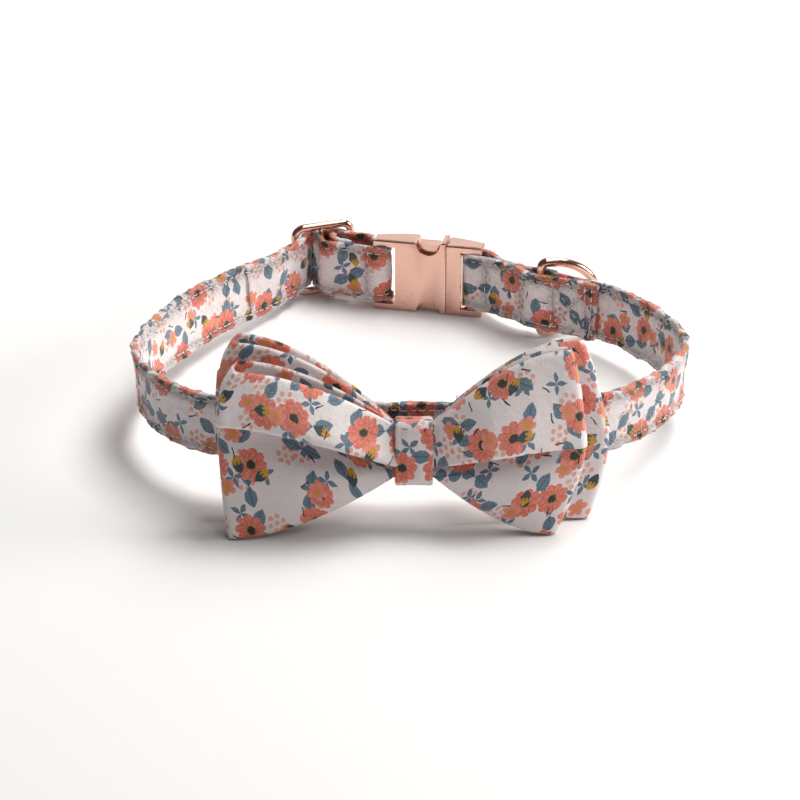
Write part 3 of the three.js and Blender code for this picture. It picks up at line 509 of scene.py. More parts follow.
def lengthsOf(line):
    return np.concatenate([[0.0], np.cumsum(np.linalg.norm(np.diff(line, axis=0), axis=1))])


def strapRoute():
    # plan line of the whole strap, from the folded end by the lead ring round to the sewn tail
    s, h = strapSize, hardwareSize
    half = s["thickness"] / 2
    sewn = (s["thickness"] + s["layerGap"]) / 2
    mid = np.array([h["buckleShareX"] * s["loopWidth"] / 2, h["buckleShareY"] * s["loopDepth"] / 2])
    barPlace = h["buckleLength"] / 2 - h["buckleBarRadius"]
    leftBar = mid + turned(h["buckleTurn"], -barPlace, 0)
    rightBar = mid + turned(h["buckleTurn"], barPlace, 0)
    slideMid = leftBar + turned(h["adjusterBearing"], h["adjusterReach"], 0)
    slideBar = (h["adjusterLength"] - h["adjusterRod"]) / 2
    slideLeft = slideMid + turned(h["adjusterTurn"], -slideBar, 0)
    slideRight = slideMid + turned(h["adjusterTurn"], slideBar, 0)
    roundBar = h["buckleBarRadius"] + s["barPlay"] + half
    roundRod = h["adjusterRod"] / 2 + s["fitGap"] + half
    roundTail = roundRod + s["thickness"] + s["layerGap"]
    roundRing = h["ringWire"] / 2 + s["ringPlay"] + half
    cross = math.degrees(math.asin((roundRod + roundTail) / slideBar))
    crossUp, crossDown = h["adjusterTurn"] + cross, h["adjusterTurn"] - cross
    loop = [np.array([
        reach * s["loopWidth"] / 2 * math.cos(math.radians(bearing)),
        reach * s["loopDepth"] / 2 * math.sin(math.radians(bearing))]) for bearing, reach, _ in loopRows]
    innerStart = leftBar + turned(s["barLeaves"], roundBar, 0)
    innerEnd = slideMid + turned(s["tailMeets"], roundRod, 0)
    bends = [between(innerStart, innerEnd, *share) for share in ((0.35, 0.02), (0.68, 0.1), (0.86, 0.14))]
    tailLine = (bends[0] - bends[1]) / np.linalg.norm(bends[0] - bends[1])
    tailNear = bends[1] + np.array([-tailLine[1], tailLine[0]]) * 2 * sewn
    outerStart = slideRight + turned(s["slideLeaves"], roundRod, 0)
    outerEnd = leftBar + turned(s["barMeets"], roundBar, 0)
    stops = [
        rightBar, *loop,
        *wrap(slideLeft, roundRod, s["slideMeets"], crossUp - 90),
        *wrap(slideMid, roundTail, crossUp + 90, crossDown + 90),
        *wrap(slideRight, roundRod, crossDown - 90, s["slideLeaves"]),
        between(outerStart, outerEnd, 0.36, 0.09), between(outerStart, outerEnd, 0.68, 0.1),
        *wrap(leftBar, roundBar, s["barMeets"], s["barLeaves"]),
        *bends,
        *wrap(slideMid, roundRod, s["tailMeets"], s["tailLeaves"]),
        tailNear, tailNear + tailLine * s["tailLength"] / 2,
    ]
    master = smoothLine(stops, s["planStep"])
    right = smoothLine(stops[:9], s["doubledStep"])
    rightTurn, rightLong = headingsOf(right), lengthsOf(right)
    kept = rightLong <= s["doubledLength"]
    gaps = np.array([
        sewn + (roundBar - sewn) * hill(x / s["pocketLength"])
        + (roundRing - sewn) * hill((x - h["ringPlace"]) / s["pocketLength"]) for x in rightLong])
    side = np.stack([-rightTurn[:, 1], rightTurn[:, 0]], 1) * gaps[:, None]
    outer, inner = (right + side)[kept], (right - side)[kept]
    barAngle = math.degrees(math.atan2(rightTurn[0][1], rightTurn[0][0]))
    bend = np.radians(np.linspace(barAngle + 270, barAngle + 90, 13))[1:-1]
    around = np.array([rightBar + roundBar * np.array([math.cos(a), math.sin(a)]) for a in bend])
    masterLong = lengthsOf(master)
    single = master[masterLong > s["doubledLength"] + s["planStep"]]
    turn = headingsOf(single)
    eased = lengthsOf(np.vstack([right[kept][-1:], single]))[1:]
    shift = np.array([sewn * hill(min(x / s["easeLength"], 1)) for x in eased])
    single = single + np.stack([-turn[:, 1], turn[:, 0]], 1) * shift[:, None]
    line = np.vstack([inner[::-1], around, outer, single])
    ringAt = np.array([np.interp(h["ringPlace"], rightLong, right[:, k]) for k in (0, 1)])
    return line, slideMid, ringAt


def heightAt(y):
    # the strap's middle rises from the hardware's height towards the bow
    s, h = strapSize, hardwareSize
    buckleMiddle = h["slotHeight"] / 2 + h["buckleFlange"]
    slideMiddle = h["adjusterFloorGap"] + h["slotHeight"] / 2 + h["adjusterRod"]
    share = (s["liftStart"] * s["loopDepth"] / 2 - y) / ((1 + s["liftStart"]) * s["loopDepth"] / 2)
    return (buckleMiddle + slideMiddle) / 2 + s["frontLift"] * np.maximum(share, 0) ** s["liftPower"]


def leanAt(x, y):
    bearing = math.degrees(math.atan2(y / strapSize["loopDepth"], x / strapSize["loopWidth"]))
    if bearing > loopRows[0][0]:
        bearing -= 360
    marks = [row[0] for row in loopRows]
    return float(np.interp(-bearing, [-m for m in marks], [row[2] for row in loopRows]))


def evenLine(line, step):
    # same line in even steps, with its small corners eased
    long = lengthsOf(line)
    count = round(long[-1] / step)
    at = np.linspace(0, long[-1], count + 1)
    even = np.stack([np.interp(at, long, line[:, k]) for k in (0, 1)], 1)
    for _ in range(4):
        even[1:-1] = (even[:-2] + 2 * even[1:-1] + even[2:]) / 4
    return even, at


rawLine, slideMid, ringAt = strapRoute()
strapLine, strapAlong = evenLine(rawLine, strapSize["station"])
strapTurn = headingsOf(strapLine)
print("strap route:", len(strapLine), "stations,", round(strapAlong[-1], 1), "mm")


def strapFrame(i):
    # middle, outward and upward directions of the strap at a station, in mm
    x, y = strapLine[i]
    out = np.array([-strapTurn[i][1], strapTurn[i][0], 0.0])
    facing = 1.0 if out[0] * x + out[1] * y > 0 else -1.0
    lean = math.radians(leanAt(x, y)) * facing
    up = np.array([out[0] * math.sin(lean), out[1] * math.sin(lean), math.cos(lean)])
    middle = np.array([x + footShift[0], y + footShift[1], float(heightAt(y))])
    return middle, out, up


def roughly(x, y, z, seed):
    return noise.noise(Vector((x + 31.7 * seed, y - 12.3 * seed, z + 5.1 * seed)))


def meshPiece(name, points, faces, uvs, material):
    # an object at the origin whose mesh lies in its place, with its faces turned outwards
    mesh = bpy.data.meshes.new(name)
    mesh.from_pydata([tuple(p) for p in np.asarray(points) * mm], [], faces)
    mesh.materials.append(material)
    layer = mesh.uv_layers.new(name="cloth")
    layer.data.foreach_set("uv", [c * mm for face in uvs for corner in face for c in corner])
    mesh.shade_smooth()
    work = bmesh.new()
    work.from_mesh(mesh)
    bmesh.ops.recalc_face_normals(work, faces=work.faces)
    work.to_mesh(mesh)
    work.free()
    return newObject(name, mesh)


def strapSection():
    # points round the strap's section: outward place, height, and the face's own millimetres across
    s = strapSize
    t, w, e = s["thickness"] / 2, s["width"] / 2, s["edgeGirth"]
    heights = [-9.0, -8.5, -8.0, -7.75, -7.5, -7.25, -6.9, -6.2, -5.2, -4.2, -3.2, -2.1, -1.0, 0.0]
    heights += [-x for x in reversed(heights[:-1])]
    edge = [(0.93, 9.35), (0.74, 9.62), (0.4, 9.77), (0.0, w), (-0.4, 9.77), (-0.74, 9.62), (-0.93, 9.35)]
    up = [(t, b, b) for b in heights]
    top = [(a * t, b, w + (1 - a) * e) for a, b in edge]
    down = [(-t, b, 2 * w + 2 * e - b) for b in reversed(heights)]
    bottom = [(a * t, -b, 3 * w + 2 * e + (1 + a) * e) for a, b in reversed(edge)]
    return up + top + down + bottom


seamHeight, slantHeight = 7.5, 7.2
seams = [(face, height, start, stop) for face, start, stop in (
    # face (1 outer, -1 inner), from, to along the strap
    (1, 1.2, 50.0), (1, 59.5, 508.0), (-1, 109.0, 500.0), (1, 529.0, 541.0), (1, 548.0, 572.0),
) for height in (seamHeight, -seamHeight)]
crossSeams = [1.6, 3.9, 16.3, 28.5, 45.0, 557.0, 104.2, 91.8, 79.0, 63.0]        # on the outer face
slantSeams = [(start, stop, rise) for start, stop in ((3.9, 16.3), (91.8, 104.2)) for rise in (1, -1)]


def seamDistance(along, b, face):
    # millimetres on the cloth to the nearest line of stitches
    near = abs(abs(b) - (strapSize["width"] / 2 - strapSize["stitchInset"]))
    if abs(b) < 8 and face > 0:
        near = min([near] + [abs(along - place) for place in crossSeams])
        for start, stop, rise in slantSeams:
            if start - 2 < along < stop + 2:
                tall = 2 * slantHeight * rise
                off = (along - start) * tall - (b + slantHeight * rise) * (stop - start)
                near = min(near, abs(off) / math.hypot(stop - start, tall))
    return near


def strapSkin(along, a, b):
    # outward and upward place of a section point once the sleeve is creased, puckered and pulled down by its
    # seams, and how strongly a seam pulls it, which also sets the painted seam shade; the shares of along and b are per
    # mm, so 0.26 is a crease in 4 mm
    s = strapSize
    fine = min(min(along, strapAlong[-1] - along) / 2.0, 1.0)
    face = 1.0 if a > 0 else -1.0
    doubled, hidden = s["doubledEnds"], s["hiddenEnds"]
    rough = 1.0 if doubled[0] <= along <= doubled[1] else s["sewnRoughness"]
    if face < 0 and not hidden[0] <= along <= hidden[1]:
        rough = s["hiddenRoughness"]
    nearEdge = max(0.0, min(1.0, (abs(b) - 5.0) / 3.0))
    groove, seamPullAndShade = 0.0, 0.6
    if abs(a) > 0.97:
        near = seamDistance(along, b, face)
        groove = s["grooveDepth"] * math.exp(-(near / 0.6) ** 2)
        seamPullAndShade = math.exp(-(near / 2.0) ** 2)
    swell = roughly(along * 0.055, b * 0.05, 3.0, 1) * s["waver"]
    crumple = roughly(along * 0.26 + face * b * 0.1, b * 0.2, face * 4.0, 2) * s["pucker"] * (0.5 + nearEdge) * rough
    ridge = 1 - 3.2 * abs(roughly(along * 0.16 - b * 0.12, b * 0.1, face * 6.0, 6))
    crease = s["crease"] * max(ridge, 0.0) ** 2 * (0.35 + nearEdge) * min(rough, 1.0)
    fineCrumple = roughly(along * 0.8, b * 0.55, face * 9.0, 3) * s["fineCrumple"] * (0.4 + nearEdge) * rough
    rim = 0.0 if b > 0 else 20.0
    edgeWave = roughly(along * 0.13, rim, 7.0, 4) * s["edgeWave"] + roughly(along * 0.5, rim, 9.0, 5) * s["edgeFine"]
    edgeWave *= nearEdge * math.copysign(1, b)
    atTurn = s["turnSwell"] * hill((along - s["turnPlace"]) / s["turnReach"]) if a > 0 else 0.0
    thick = a - face * groove + face * (crumple + crease + fineCrumple) + atTurn
    past = along - s["seamPlace"]
    if face < 0 and past > 0:
        # a line of painted shade along the step of the sleeve's cross seam
        seamPullAndShade = max(seamPullAndShade, 1.12 * math.exp(-((past - 0.5) / 0.8) ** 2))
        thick -= s["seamStep"] * min(past / 0.7, 1.0) * max(0.0, 1 - past / s["seamFade"]) * min(1.0, abs(a) / 0.9)
    return thick * (0.55 + 0.45 * fine) + swell, (b + edgeWave) * (0.985 + 0.015 * fine), seamPullAndShade


def buildStrap():
    section = strapSection()
    sides, last = len(section), len(strapLine) - 1
    girth = 2 * strapSize["width"] + 4 * strapSize["edgeGirth"]
    points, seamPullAndShadeValues = [], []
    for i in range(last + 1):
        middle, out, up = strapFrame(i)
        for a, b, _ in section:
            outward, upward, seamPullAndShade = strapSkin(strapAlong[i], a, b)
            points.append(middle + out * outward + up * upward)
            seamPullAndShadeValues.append(seamPullAndShade)
    faces, uvs = [], []
    for i in range(last):
        u0, u1 = strapAlong[i], strapAlong[i + 1]
        for k in range(sides):
            n = (k + 1) % sides
            faces.append((i * sides + k, (i + 1) * sides + k, (i + 1) * sides + n, i * sides + n))
            v0, v1 = section[k][2], section[n][2] if n else girth
            uvs.append([(u0, v0), (u1, v0), (u1, v1), (u0, v1)])
    for start, order in ((0, 1), (last * sides, -1)):
        ring = [start + k for k in range(sides)][::order]
        faces.append(tuple(ring))
        uvs.append([(points[p][0], points[p][2]) for p in ring])
    made = meshPiece("strapCotton", points, faces, uvs, cottonStrap)
    # the seam pull, which the sleeve's material reads for its folds and its painted seam shade
    made.data.attributes.new("seamPullAndShade", "FLOAT", "POINT").data.foreach_set("value", seamPullAndShadeValues)
    return made


strap = buildStrap()
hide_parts("strap")
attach(strap, "collar")
print("strap built:", len(strap.data.polygons), "faces")


# stitches: one Geometry Nodes tree lays thread loops along seam lines

stitchSize = {"length": 2.0, "gap": 0.75, "thread": 0.17, "rise": 0.34, "clear": 0.06}


def onStrap(face, along, height):
    # a place on the strap's skin and the skin's outward direction there
    i = int(np.clip(np.searchsorted(strapAlong, along), 0, len(strapLine) - 1))
    middle, out, up = strapFrame(i)
    outward, upward, _ = strapSkin(strapAlong[i], face * strapSize["thickness"] / 2, height)
    return middle + out * (outward + face * stitchSize["clear"]) + up * upward, out * face


def geometryTree(name, inputs, output):
    # an empty tree with named inputs, the function that adds nodes to it, and what its inputs give
    tree = bpy.data.node_groups.new(name, "GeometryNodeTree")
    for socket, kind in inputs.items():
        tree.interface.new_socket(socket, in_out="INPUT", socket_type="NodeSocket" + kind)
    tree.interface.new_socket(output, in_out="OUTPUT", socket_type="NodeSocketGeometry")
    add = partial(addNode, tree)
    return tree, add, add("NodeGroupInput").outputs


def threadTree():
    tree, add, given = geometryTree("thread stitches", {
        "Seam lines": "Geometry", "Pitch": "Float", "Stitch length": "Float", "Thread radius": "Float",
        "Rise": "Float", "Thread": "Material"}, "Stitches")
    lines = add("GeometryNodeMeshToCurve", given["Seam lines"])
    spots = add("GeometryNodeResampleCurve", {"Curve": lines, "Length": given["Pitch"]}, mode="LENGTH")
    halfLength = add("MULTIPLY", given["Stitch length"], 0.5)
    dip = add("MULTIPLY", given["Thread radius"], -1.2)
    arc = add("GeometryNodeCurveQuadraticBezier", {
        "Resolution": 5,
        "Start": add("ShaderNodeCombineXYZ", {0: add("MULTIPLY", halfLength, -1.0), 2: dip}),
        "Middle": add("ShaderNodeCombineXYZ", {2: given["Rise"]}),
        "End": add("ShaderNodeCombineXYZ", {0: halfLength, 2: dip})})
    ring = add("GeometryNodeCurvePrimitiveCircle", {"Resolution": 6, "Radius": given["Thread radius"]})
    loop = add("GeometryNodeCurveToMesh", {"Curve": arc, "Profile Curve": ring, "Fill Caps": True})
    smooth = add("GeometryNodeSetShadeSmooth", {"Geometry": loop})
    skin = add("GeometryNodeInputNamedAttribute", {"Name": "skin"}, data_type="FLOAT_VECTOR").outputs["Attribute"]
    alongTurn = add("FunctionNodeAlignRotationToVector", {"Vector": add("GeometryNodeInputTangent")}, axis="X")
    turnedOut = add(
        "FunctionNodeAlignRotationToVector", {"Rotation": alongTurn, "Vector": skin}, axis="Z", pivot_axis="X")
    laid = add("GeometryNodeInstanceOnPoints", {"Points": spots, "Instance": smooth, "Rotation": turnedOut})
    real = add("GeometryNodeRealizeInstances", {"Geometry": laid})
    add("NodeGroupOutput", add("GeometryNodeSetMaterial", {"Geometry": real, "Material": given["Thread"]}))
    return tree


def alongLines(name, lines, tree, values):
    # polylines with each point's outward direction kept as an attribute, run through a tree into a plain mesh
    points, edges, skins = [], [], []
    for line, skin, closed in lines:
        start = len(points)
        points.extend(tuple(np.asarray(p) * mm) for p in line)
        skins.extend(skin)
        edges.extend((start + i, start + i + 1) for i in range(len(line) - 1))
        if closed:
            edges.append((start + len(line) - 1, start))
    mesh = bpy.data.meshes.new(name + "Lines")
    mesh.from_pydata(points, edges, [])
    mesh.attributes.new("skin", "FLOAT_VECTOR", "POINT").data.foreach_set("vector", np.asarray(skins, float).ravel())
    holder = newObject(name + "Lines", mesh)
    modifier = holder.modifiers.new(tree.name, "NODES")
    modifier.node_group = tree
    for item in tree.interface.items_tree:
        if item.item_type == "SOCKET" and item.in_out == "INPUT" and item.name in values:
            modifier[item.identifier] = values[item.name]
    graph = bpy.context.evaluated_depsgraph_get()
    made = newObject(name, bpy.data.meshes.new_from_object(holder.evaluated_get(graph)))
    bpy.data.objects.remove(holder)
    return made


def strapSeamLines():
    paths = [[(face, along, height) for along in np.arange(start, stop, 1.2)] for face, height, start, stop in seams]
    paths += [[(1, place, height) for height in np.linspace(-seamHeight, seamHeight, 13)] for place in crossSeams]
    paths += [[(1, start + (stop - start) * t, slantHeight * rise * (2 * t - 1)) for t in np.linspace(0, 1, 16)]
              for start, stop, rise in slantSeams]
    return [(*zip(*(onStrap(*spot) for spot in path)), False) for path in paths]


strapStitches = alongLines("strapStitches", strapSeamLines(), threadTree(), {
    "Pitch": (stitchSize["length"] + stitchSize["gap"]) * mm, "Stitch length": stitchSize["length"] * mm,
    "Thread radius": stitchSize["thread"] * mm, "Rise": stitchSize["rise"] * mm, "Thread": whiteThread})
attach(strapStitches, "collar")
print("stitches laid:", len(strapStitches.data.polygons), "faces")


# bent wire: the slide and the lead ring, by one Geometry Nodes tree

def wireTree():
    tree, add, given = geometryTree("bent wire", {
        "Outline": "Geometry", "Wire radius": "Float", "Sides": "Int", "Metal": "Material"}, "Wire")
    path = add("GeometryNodeMeshToCurve", given["Outline"])
    section = add("GeometryNodeCurvePrimitiveCircle", {"Resolution": given["Sides"], "Radius": given["Wire radius"]})
    swept = add("GeometryNodeCurveToMesh", {"Curve": path, "Profile Curve": section, "Fill Caps": True})
    smooth = add("GeometryNodeSetShadeSmooth", {"Geometry": swept})
    real = add("GeometryNodeRealizeInstances", {"Geometry": smooth})
    add("NodeGroupOutput", add("GeometryNodeSetMaterial", {"Geometry": real, "Material": given["Metal"]}))
    return tree


bentWireTree = wireTree()


def bentWire(name, place, angle, height, diameter, outlines):
    # flat outlines of (along, up), each open or closed, stood upright at a plan place and drawn in round wire
    x0, y0 = place + footShift
    cx, cy = turned(angle, 1, 0)
    lines = []
    for outline, closed in outlines:
        stood = [np.array([x0 + cx * x, y0 + cy * x, height + z]) for x, z in outline]
        lines.append((stood, [(0, 0, 1)] * len(stood), closed))
    return alongLines(name, lines, bentWireTree, {"Wire radius": diameter / 2 * mm, "Sides": 24, "Metal": roseGoldWire})


def arcPoints(cx, cz, radius, start, stop, count):
    angles = np.radians(np.linspace(start, stop, count + 1))
    return [(cx + radius * math.cos(a), cz + radius * math.sin(a)) for a in angles]


def buildSlide():
    h = hardwareSize
    rod, corner = h["adjusterRod"], h["adjusterCorner"]
    x, z = (h["adjusterLength"] - rod) / 2 - corner, (h["slotHeight"] + rod) / 2 - corner
    outline = []
    for cx, cz, start in ((x, z, 0), (-x, z, 90), (-x, -z, 180), (x, -z, 270)):
        outline += arcPoints(cx, cz, corner, start, start + 90, 9)
    end = z + corner - 0.3
    height = h["adjusterFloorGap"] + h["slotHeight"] / 2 + rod
    outlines = [(outline, True), ([(0, -end), (0, 0), (0, end)], False)]
    return bentWire("slideWire", slideMid, h["adjusterTurn"], height, rod, outlines)


def buildRing():
    h = hardwareSize
    wire, heel = h["ringWire"], h["ringHeel"]
    half = h["ringOuterHeight"] / 2 - wire / 2
    bar = half - heel
    outline = [(heel + (h["ringDepth"] - heel) * math.cos(a), half * math.sin(a))
               for a in np.radians(np.linspace(-90, 90, 61))]
    outline += arcPoints(heel, bar, heel, 100, 180, 6) + [(0, 0)] + arcPoints(heel, -bar, heel, 180, 260, 6)
    height = h["ringFloorGap"] + h["ringOuterHeight"] / 2
    return bentWire("leadRingWire", ringAt, h["ringTurn"], height, wire, [(outline, True)])


slide = buildSlide()
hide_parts("adjuster")
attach(slide, "collar")
leadRing = buildRing()
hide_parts("lead_ring")
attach(leadRing, "lead_ring")
print("wire pieces bent")


# the buckle: copies of the solids with eased edges

easedWork = {
    "cuts": 3, "sharpest": 28.0,   # degrees past which an edge is eased
    "pieces": {
        # node: name, material, slot, width of the eased edge
        "buckle_female": ("buckleSocket", roseGoldCast, "rose_gold", 0.28),
        "buckle_male": ("bucklePlug", roseGoldCast, "rose_gold", 0.28),
        "bow_keeper": ("keeperElastic", whiteElastic, "elastic", 0.3),
    },
}


def easedCopy(node, name, material, width):
    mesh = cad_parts[node].data.copy()
    mesh.name = name
    work = bmesh.new()
    work.from_mesh(mesh)
    bmesh.ops.remove_doubles(work, verts=work.verts, dist=0.00001)
    bmesh.ops.dissolve_limit(work, angle_limit=math.radians(1.0), verts=work.verts, edges=work.edges)
    bmesh.ops.recalc_face_normals(work, faces=work.faces)
    work.to_mesh(mesh)
    work.free()
    mesh.materials.clear()
    mesh.materials.append(material)
    mesh.shade_smooth()
    made = newObject(name, mesh)
    bevel = made.modifiers.new("eased edges", "BEVEL")
    bevel.width = width * mm
    bevel.segments = easedWork["cuts"]
    bevel.limit_method = "ANGLE"
    bevel.angle_limit = math.radians(easedWork["sharpest"])
    bevel.use_clamp_overlap = True
    bevel.harden_normals = True
    return made


for node, (name, material, slot, width) in easedWork["pieces"].items():
    piece = easedCopy(node, name, material, width)
    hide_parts(node)
    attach(piece, "collar")
print("buckle and keeper dressed")


# the bow: two folded bands and the knot round them

bowSize = {
    "knotWidth": 11.8, "knotHeight": 18.8, "knotWall": 1.2, "knotMiddle": 24.4, "sheet": 1.1, "spacing": 1.75,
    "height": 54.0, "leftWing": 47.8, "rightWing": 42.6, "lean": 16.0, "shareX": 0.002, "keeperWall": 1.0,
    "floorGap": 0.2, "wingBulge": 3.2, "pleatDepth": 2.6, "pleatStack": 0.6,
    "riseShape": 1.7, "swellShape": 0.85, "foldAtKnot": 0.36, "foldAtTip": 0.6, "openShape": 0.75, "tipTurn": 1.8,
    "fanFolds": 1.5, "dents": 0.9, "fineFolds": 0.22, "footClear": 0.5,
    "backBulge": -0.35, "backFold": 0.25, "backFolds": 0.4,        # shares of the front sheet's own
    "stations": 44, "tipCuts": 9, "rowCuts": 5, "visibleSheet": 0.75,
}

# rows of a wing's front sheet from bottom to top: tip height, knot height, reach, bulge, fold
leftRows = [
    (0.0, 0.0, 0.98, 0.0, -0.2), (0.16, 0.07, 1.0, 0.6, -0.35), (0.36, 0.15, 1.02, 0.8, -0.9),
    (0.55, 0.28, 1.035, 0.1, -2.0), (0.72, 0.43, 1.035, 0.0, -2.4), (0.68, 0.36, 1.04, 0.7, -0.2),
    (0.612, 0.25, 1.045, 1.15, 1.9), (0.69, 0.44, 1.03, 1.25, 1.3), (0.80, 0.75, 1.0, 0.8, 0.35),
    (0.89, 1.0, 0.935, 0.2, -0.3),
]
rightRows = [
    (0.0, 0.0, 0.79, 0.0, -0.2), (0.12, 0.07, 0.865, 0.7, -0.2), (0.27, 0.14, 0.94, 1.2, -0.4),
    (0.42, 0.25, 0.99, 0.6, -1.5), (0.56, 0.38, 1.0, 0.2, -1.9), (0.53, 0.32, 1.0, 0.7, -0.3),
    (0.48, 0.22, 1.0, 1.1, 1.4), (0.60, 0.44, 0.985, 1.2, 0.9), (0.82, 0.75, 0.95, 0.8, 0.2),
    (1.0, 1.0, 0.895, 0.2, -0.3),
]

b = bowSize
lean = math.radians(b["lean"])
bowUp = np.array([0, math.sin(lean), math.cos(lean)])
bowForward = np.array([0, -math.cos(lean), math.sin(lean)])
foldDepth = b["pleatDepth"] * b["pleatStack"]
stackDepth = 3 * b["spacing"] + foldDepth
pinchHalf = b["knotHeight"] / 2 - b["knotWall"] - strapSize["fitGap"]
knotBack = stackDepth + b["sheet"] / 2 + strapSize["fitGap"] + b["knotWall"]
bowMiddle = np.array([
    b["shareX"] * strapSize["loopWidth"] + footShift[0],
    -strapSize["loopDepth"] / 2 - strapSize["thickness"] / 2 - b["keeperWall"] - 3 * strapSize["fitGap"]
    - b["knotHeight"] / 2 * math.tan(lean) - knotBack / math.cos(lean) + footShift[1],
    b["knotMiddle"],
])

bowBands = {  # longer, taller, tipBack, opening and rise: left and right
    "front": {
        "setBack": 0.0, "pinch": b["spacing"] + foldDepth, "pleat": 1.0, "bulge": 1.0, "flare": 0.0, "seed": 11,
        "longer": (0.0, 0.0), "taller": (0.0, 0.0), "tipBack": (-3.3, -0.5), "opening": (6.4, 3.6), "rise": (2.8, 0.6),
    },
    "back": {
        "setBack": 2 * b["spacing"] + foldDepth, "pinch": b["spacing"],
        "pleat": 0.12, "bulge": -0.2, "flare": 0.85, "seed": 23,
        "longer": (0.4, 7.4), "taller": (5.0, -1.0), "tipBack": (2.5, 4.2), "opening": (4.6, 2.6), "rise": (2.4, 0.6),
    },
}


def bowPlace(x, up, forward):
    return bowMiddle + np.array([x, 0, 0]) + bowUp * up + bowForward * forward


def floorUp(forward):
    return (b["floorGap"] - b["knotMiddle"] - forward * math.sin(lean)) / math.cos(lean)


def smoothRows(rows, cuts):
    # the rows with smooth rows between them
    table = np.array(rows, float)
    out = []
    for p0, p1, p2, p3 in stretches(table):
        bend, twist = 2 * p0 - 5 * p1 + 4 * p2 - p3, 3 * p1 - p0 - 3 * p2 + p3
        out += [0.5 * (2 * p1 + (p2 - p0) * t + bend * t * t + twist * t ** 3) for t in np.arange(cuts) / cuts]
    return np.array(out + [table[-1]])


def clothFolds(side, q, r, band):
    # tension lines that run out from the knot, and soft dents over the wing
    seed = band["seed"] + (3 if side > 0 else 0)
    fan = roughly(r * 5.2, 0.25 * q, 0.0, seed) * b["fanFolds"] * (1 - q) ** 1.6 * min(q * 6, 1)
    dents = roughly(q * 2.6, r * 2.4, 4.0, seed + 1) * b["dents"] * math.sin(math.pi * min(q * 1.05, 1))
    fine = roughly(q * 9.0, r * 8.0, 8.0, seed + 2) * b["fineFolds"]
    return fan + dents + fine


def sheetPlace(side, row, q, setBack, band, r, front):
    tipHigh, knotHigh, reach, bulge, fold = row
    wing = b["leftWing"] if side < 0 else b["rightWing"]
    end = {key: band[key][0 if side < 0 else 1] for key in ("longer", "taller", "tipBack", "opening", "rise")}
    rise = 1 - (1 - q) ** b["riseShape"]
    behindUp = floorUp(-band["setBack"] - end["tipBack"] - end["opening"])
    footUp = floorUp(-band["setBack"] - end["tipBack"]) + b["footClear"] if front else behindUp
    top = behindUp + b["height"] + end["taller"] + (0 if front else end["rise"])
    tipUp = footUp + (top - footUp) * tipHigh
    knotUp = (2 * knotHigh - 1) * pinchHalf
    up = knotUp + (tipUp - knotUp) * rise
    x = side * (b["knotWidth"] / 2 + q * (wing * reach + end["longer"] * (1 + band["flare"] * (0.42 - tipHigh))))
    swell = math.sin(math.pi * q ** b["swellShape"])
    fade = (swell + (1 - q - swell) * b["foldAtKnot"]) * (1 - q ** 4) + b["foldAtTip"] * q ** 4
    forward = fold * b["pleatDepth"] * band["pleat"] * fade + b["wingBulge"] * bulge * band["bulge"] * swell
    forward += clothFolds(side, q, r, band) * (1.0 if front else b["backFolds"])
    return bowPlace(x, up, forward - setBack)


def buildBand(name, band):
    stations, tipCuts = b["stations"], b["tipCuts"]
    wings = []
    for hand, side, table in ((1, 1, rightRows), (0, -1, leftRows)):
        rows = smoothRows(table, b["rowCuts"])
        tipBack, opening = band["tipBack"][hand], band["opening"][hand]
        lines = []
        for n, row in enumerate(rows):
            r = n / (len(rows) - 1)
            line = []
            for i in range(stations + 1):
                q = i / stations
                line.append(sheetPlace(side, row, q, band["setBack"] + tipBack * q, band, r, True))
            tip = line[-1]
            backRow = row * np.array([1, 1, 1, b["backBulge"], b["backFold"]])
            backTip = sheetPlace(side, backRow, 1, band["setBack"] + tipBack + opening, band, r, False)
            for k in range(1, tipCuts):
                angle = math.pi * k / tipCuts
                share = (1 - math.cos(angle)) / 2
                rounded = np.array([side * math.sin(angle) * b["tipTurn"], 0, 0])
                line.append(tip * (1 - share) + backTip * share + rounded)
            for i in range(stations, -1, -1):
                q = i / stations
                behind = band["pinch"] + (opening - band["pinch"]) * q ** b["openShape"]
                line.append(sheetPlace(side, backRow, q, band["setBack"] + tipBack * q + behind, band, r, False))
            lines.append(line)
        wings.append(lines)
    grid = np.array([right + left[::-1] for right, left in zip(*wings)])
    return closedBand(name, grid, b["visibleSheet"], cottonBow)


def closedBand(name, grid, thickness, material):
    # a closed band of cloth with its thickness and rounded folded edges
    rows, count = grid.shape[:2]
    along = np.roll(grid, -1, 1) - np.roll(grid, 1, 1)
    across = np.gradient(grid, axis=0)
    normal = np.cross(along, across)
    normal /= np.linalg.norm(normal, axis=2)[:, :, None] + 1e-9
    widths = np.linalg.norm(np.diff(grid, axis=0), axis=2)
    down = np.concatenate([np.zeros((1, count)), np.cumsum(widths, 0)])
    fromEdge = np.minimum(down, down[-1] - down)
    half = thickness / 2 * np.sqrt(1 - (1 - np.clip(fromEdge / (thickness * 0.6), 0, 1)) ** 2 * 0.98)
    outer, inner = grid + normal * half[:, :, None], grid - normal * half[:, :, None]
    steps = np.linalg.norm(np.roll(grid, -1, 1) - grid, axis=2).max(0)
    u = np.concatenate([[0], np.cumsum(steps)])
    down = down - down[rows // 2]
    points = np.concatenate([outer, inner[::-1]], 0)
    vs = np.concatenate([down, 2 * down[-1] + 2 - down[::-1], down[:1] + 4 * down[-1] + 4], 0)
    total = 2 * rows
    faces, uvs = [], []
    for i in range(count):
        j = (i + 1) % count
        for k in range(total):
            n = (k + 1) % total
            faces.append((k * count + i, k * count + j, n * count + j, n * count + i))
            uvs.append([(u[i], vs[k][i]), (u[i + 1], vs[k][j]), (u[i + 1], vs[k + 1][j]), (u[i], vs[k + 1][i])])
    made = meshPiece(name, points.reshape(-1, 3), faces, uvs, material)
    return made, (float(u[-1]), float((down[-1] - down[0]).max()))


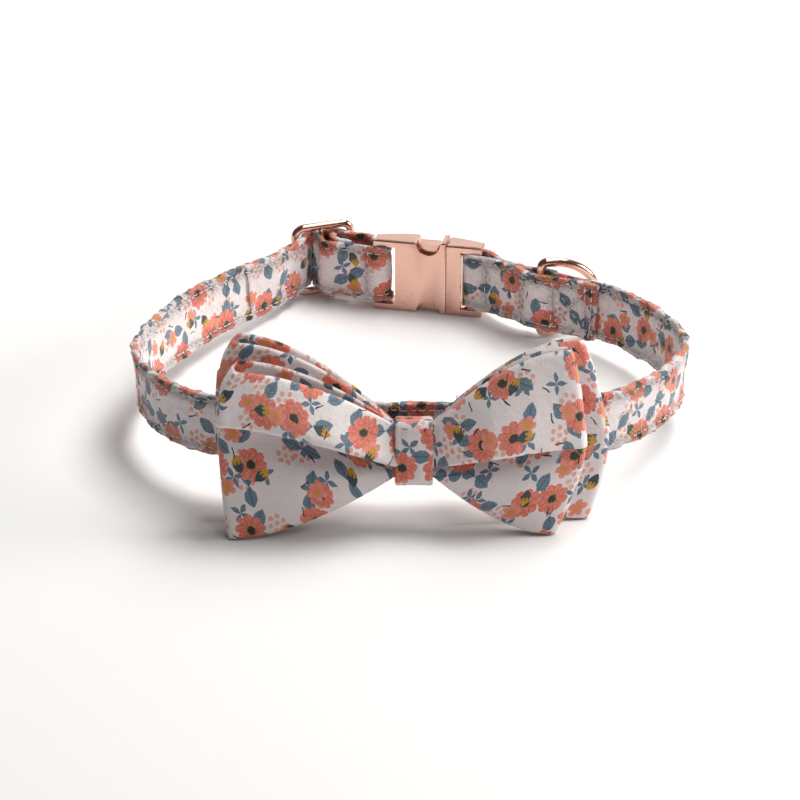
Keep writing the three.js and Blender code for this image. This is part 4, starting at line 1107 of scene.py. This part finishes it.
knotSize = {
    "corner": 1.9, "cornerCuts": 6, "rows": 19, "step": 0.55, "widthShare": 0.93,
    "plump": 0.75, "crease": 0.55, "waist": 0.35, "hang": 1.2, "waver": 0.25, "endReach": 1.5,
}


def buildKnot():
    # a folded band round the pinch: plump in front, flat behind
    k = knotSize
    room = b["sheet"] / 2 + strapSize["fitGap"]
    wall = b["knotWall"]
    back, front = -stackDepth - room - wall / 2, room + wall / 2
    half = pinchHalf + strapSize["fitGap"] + wall / 2
    corner = k["corner"]
    outline = []
    for cx, cz, start in (
            (front - corner, half - corner, 0), (back + corner, half - corner, 90),
            (back + corner, corner - half, 180), (front - corner, corner - half, 270)):
        outline += arcPoints(cx, cz, corner, start, start + 90, k["cornerCuts"])
    ends = np.array(outline + outline[:1])
    even, _ = evenLine(ends, k["step"])
    even = even[:-1]
    grid = []
    for n in range(k["rows"]):
        t = n / (k["rows"] - 1)
        x = (t - 0.5) * b["knotWidth"] * k["widthShare"]
        line = []
        for forward, up in even:
            plump = k["plump"] * (1 - (2 * t - 1) ** 2) * max(0.0, 1 - (up / half) ** 2)
            crease = roughly(t * 4.2, up * 0.09, 2.0, 41) * k["crease"]
            waist = k["waist"] * math.cos(math.pi * (t - 0.5))
            inward = -math.copysign(waist * 0.4, up) if abs(up) > half - k["endReach"] else 0
            if up < 0:
                up -= k["hang"] * up / -half
            aside = k["waver"] * roughly(up * 0.2, t, 3.0, 44)
            line.append(bowPlace(x + aside, up + inward, forward + (plump + crease if forward > 0 else 0)))
        grid.append(line)
    return closedBand("bowKnotCotton", np.array(grid), wall * 0.9, cottonKnot)


bowPieces = {
    # node: the piece and its measured lengths, the flat cut in metres, what it rests on
    "bow_front_loop": (buildBand("bowFrontCotton", bowBands["front"]), (0.236, 0.055), "bow_knot"),
    "bow_back_loop": (buildBand("bowBackCotton", bowBands["back"]), (0.251, 0.056), "bow_knot"),
    "bow_knot": (buildKnot(), (0.052, 0.0121), "bow_front_loop"),
}
for node, ((piece, measured), flat, rest) in bowPieces.items():
    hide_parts(node)
    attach(piece, "collar")
    print(piece.name, "lies", [round(x, 1) for x in measured], "mm,", len(piece.data.polygons), "faces")
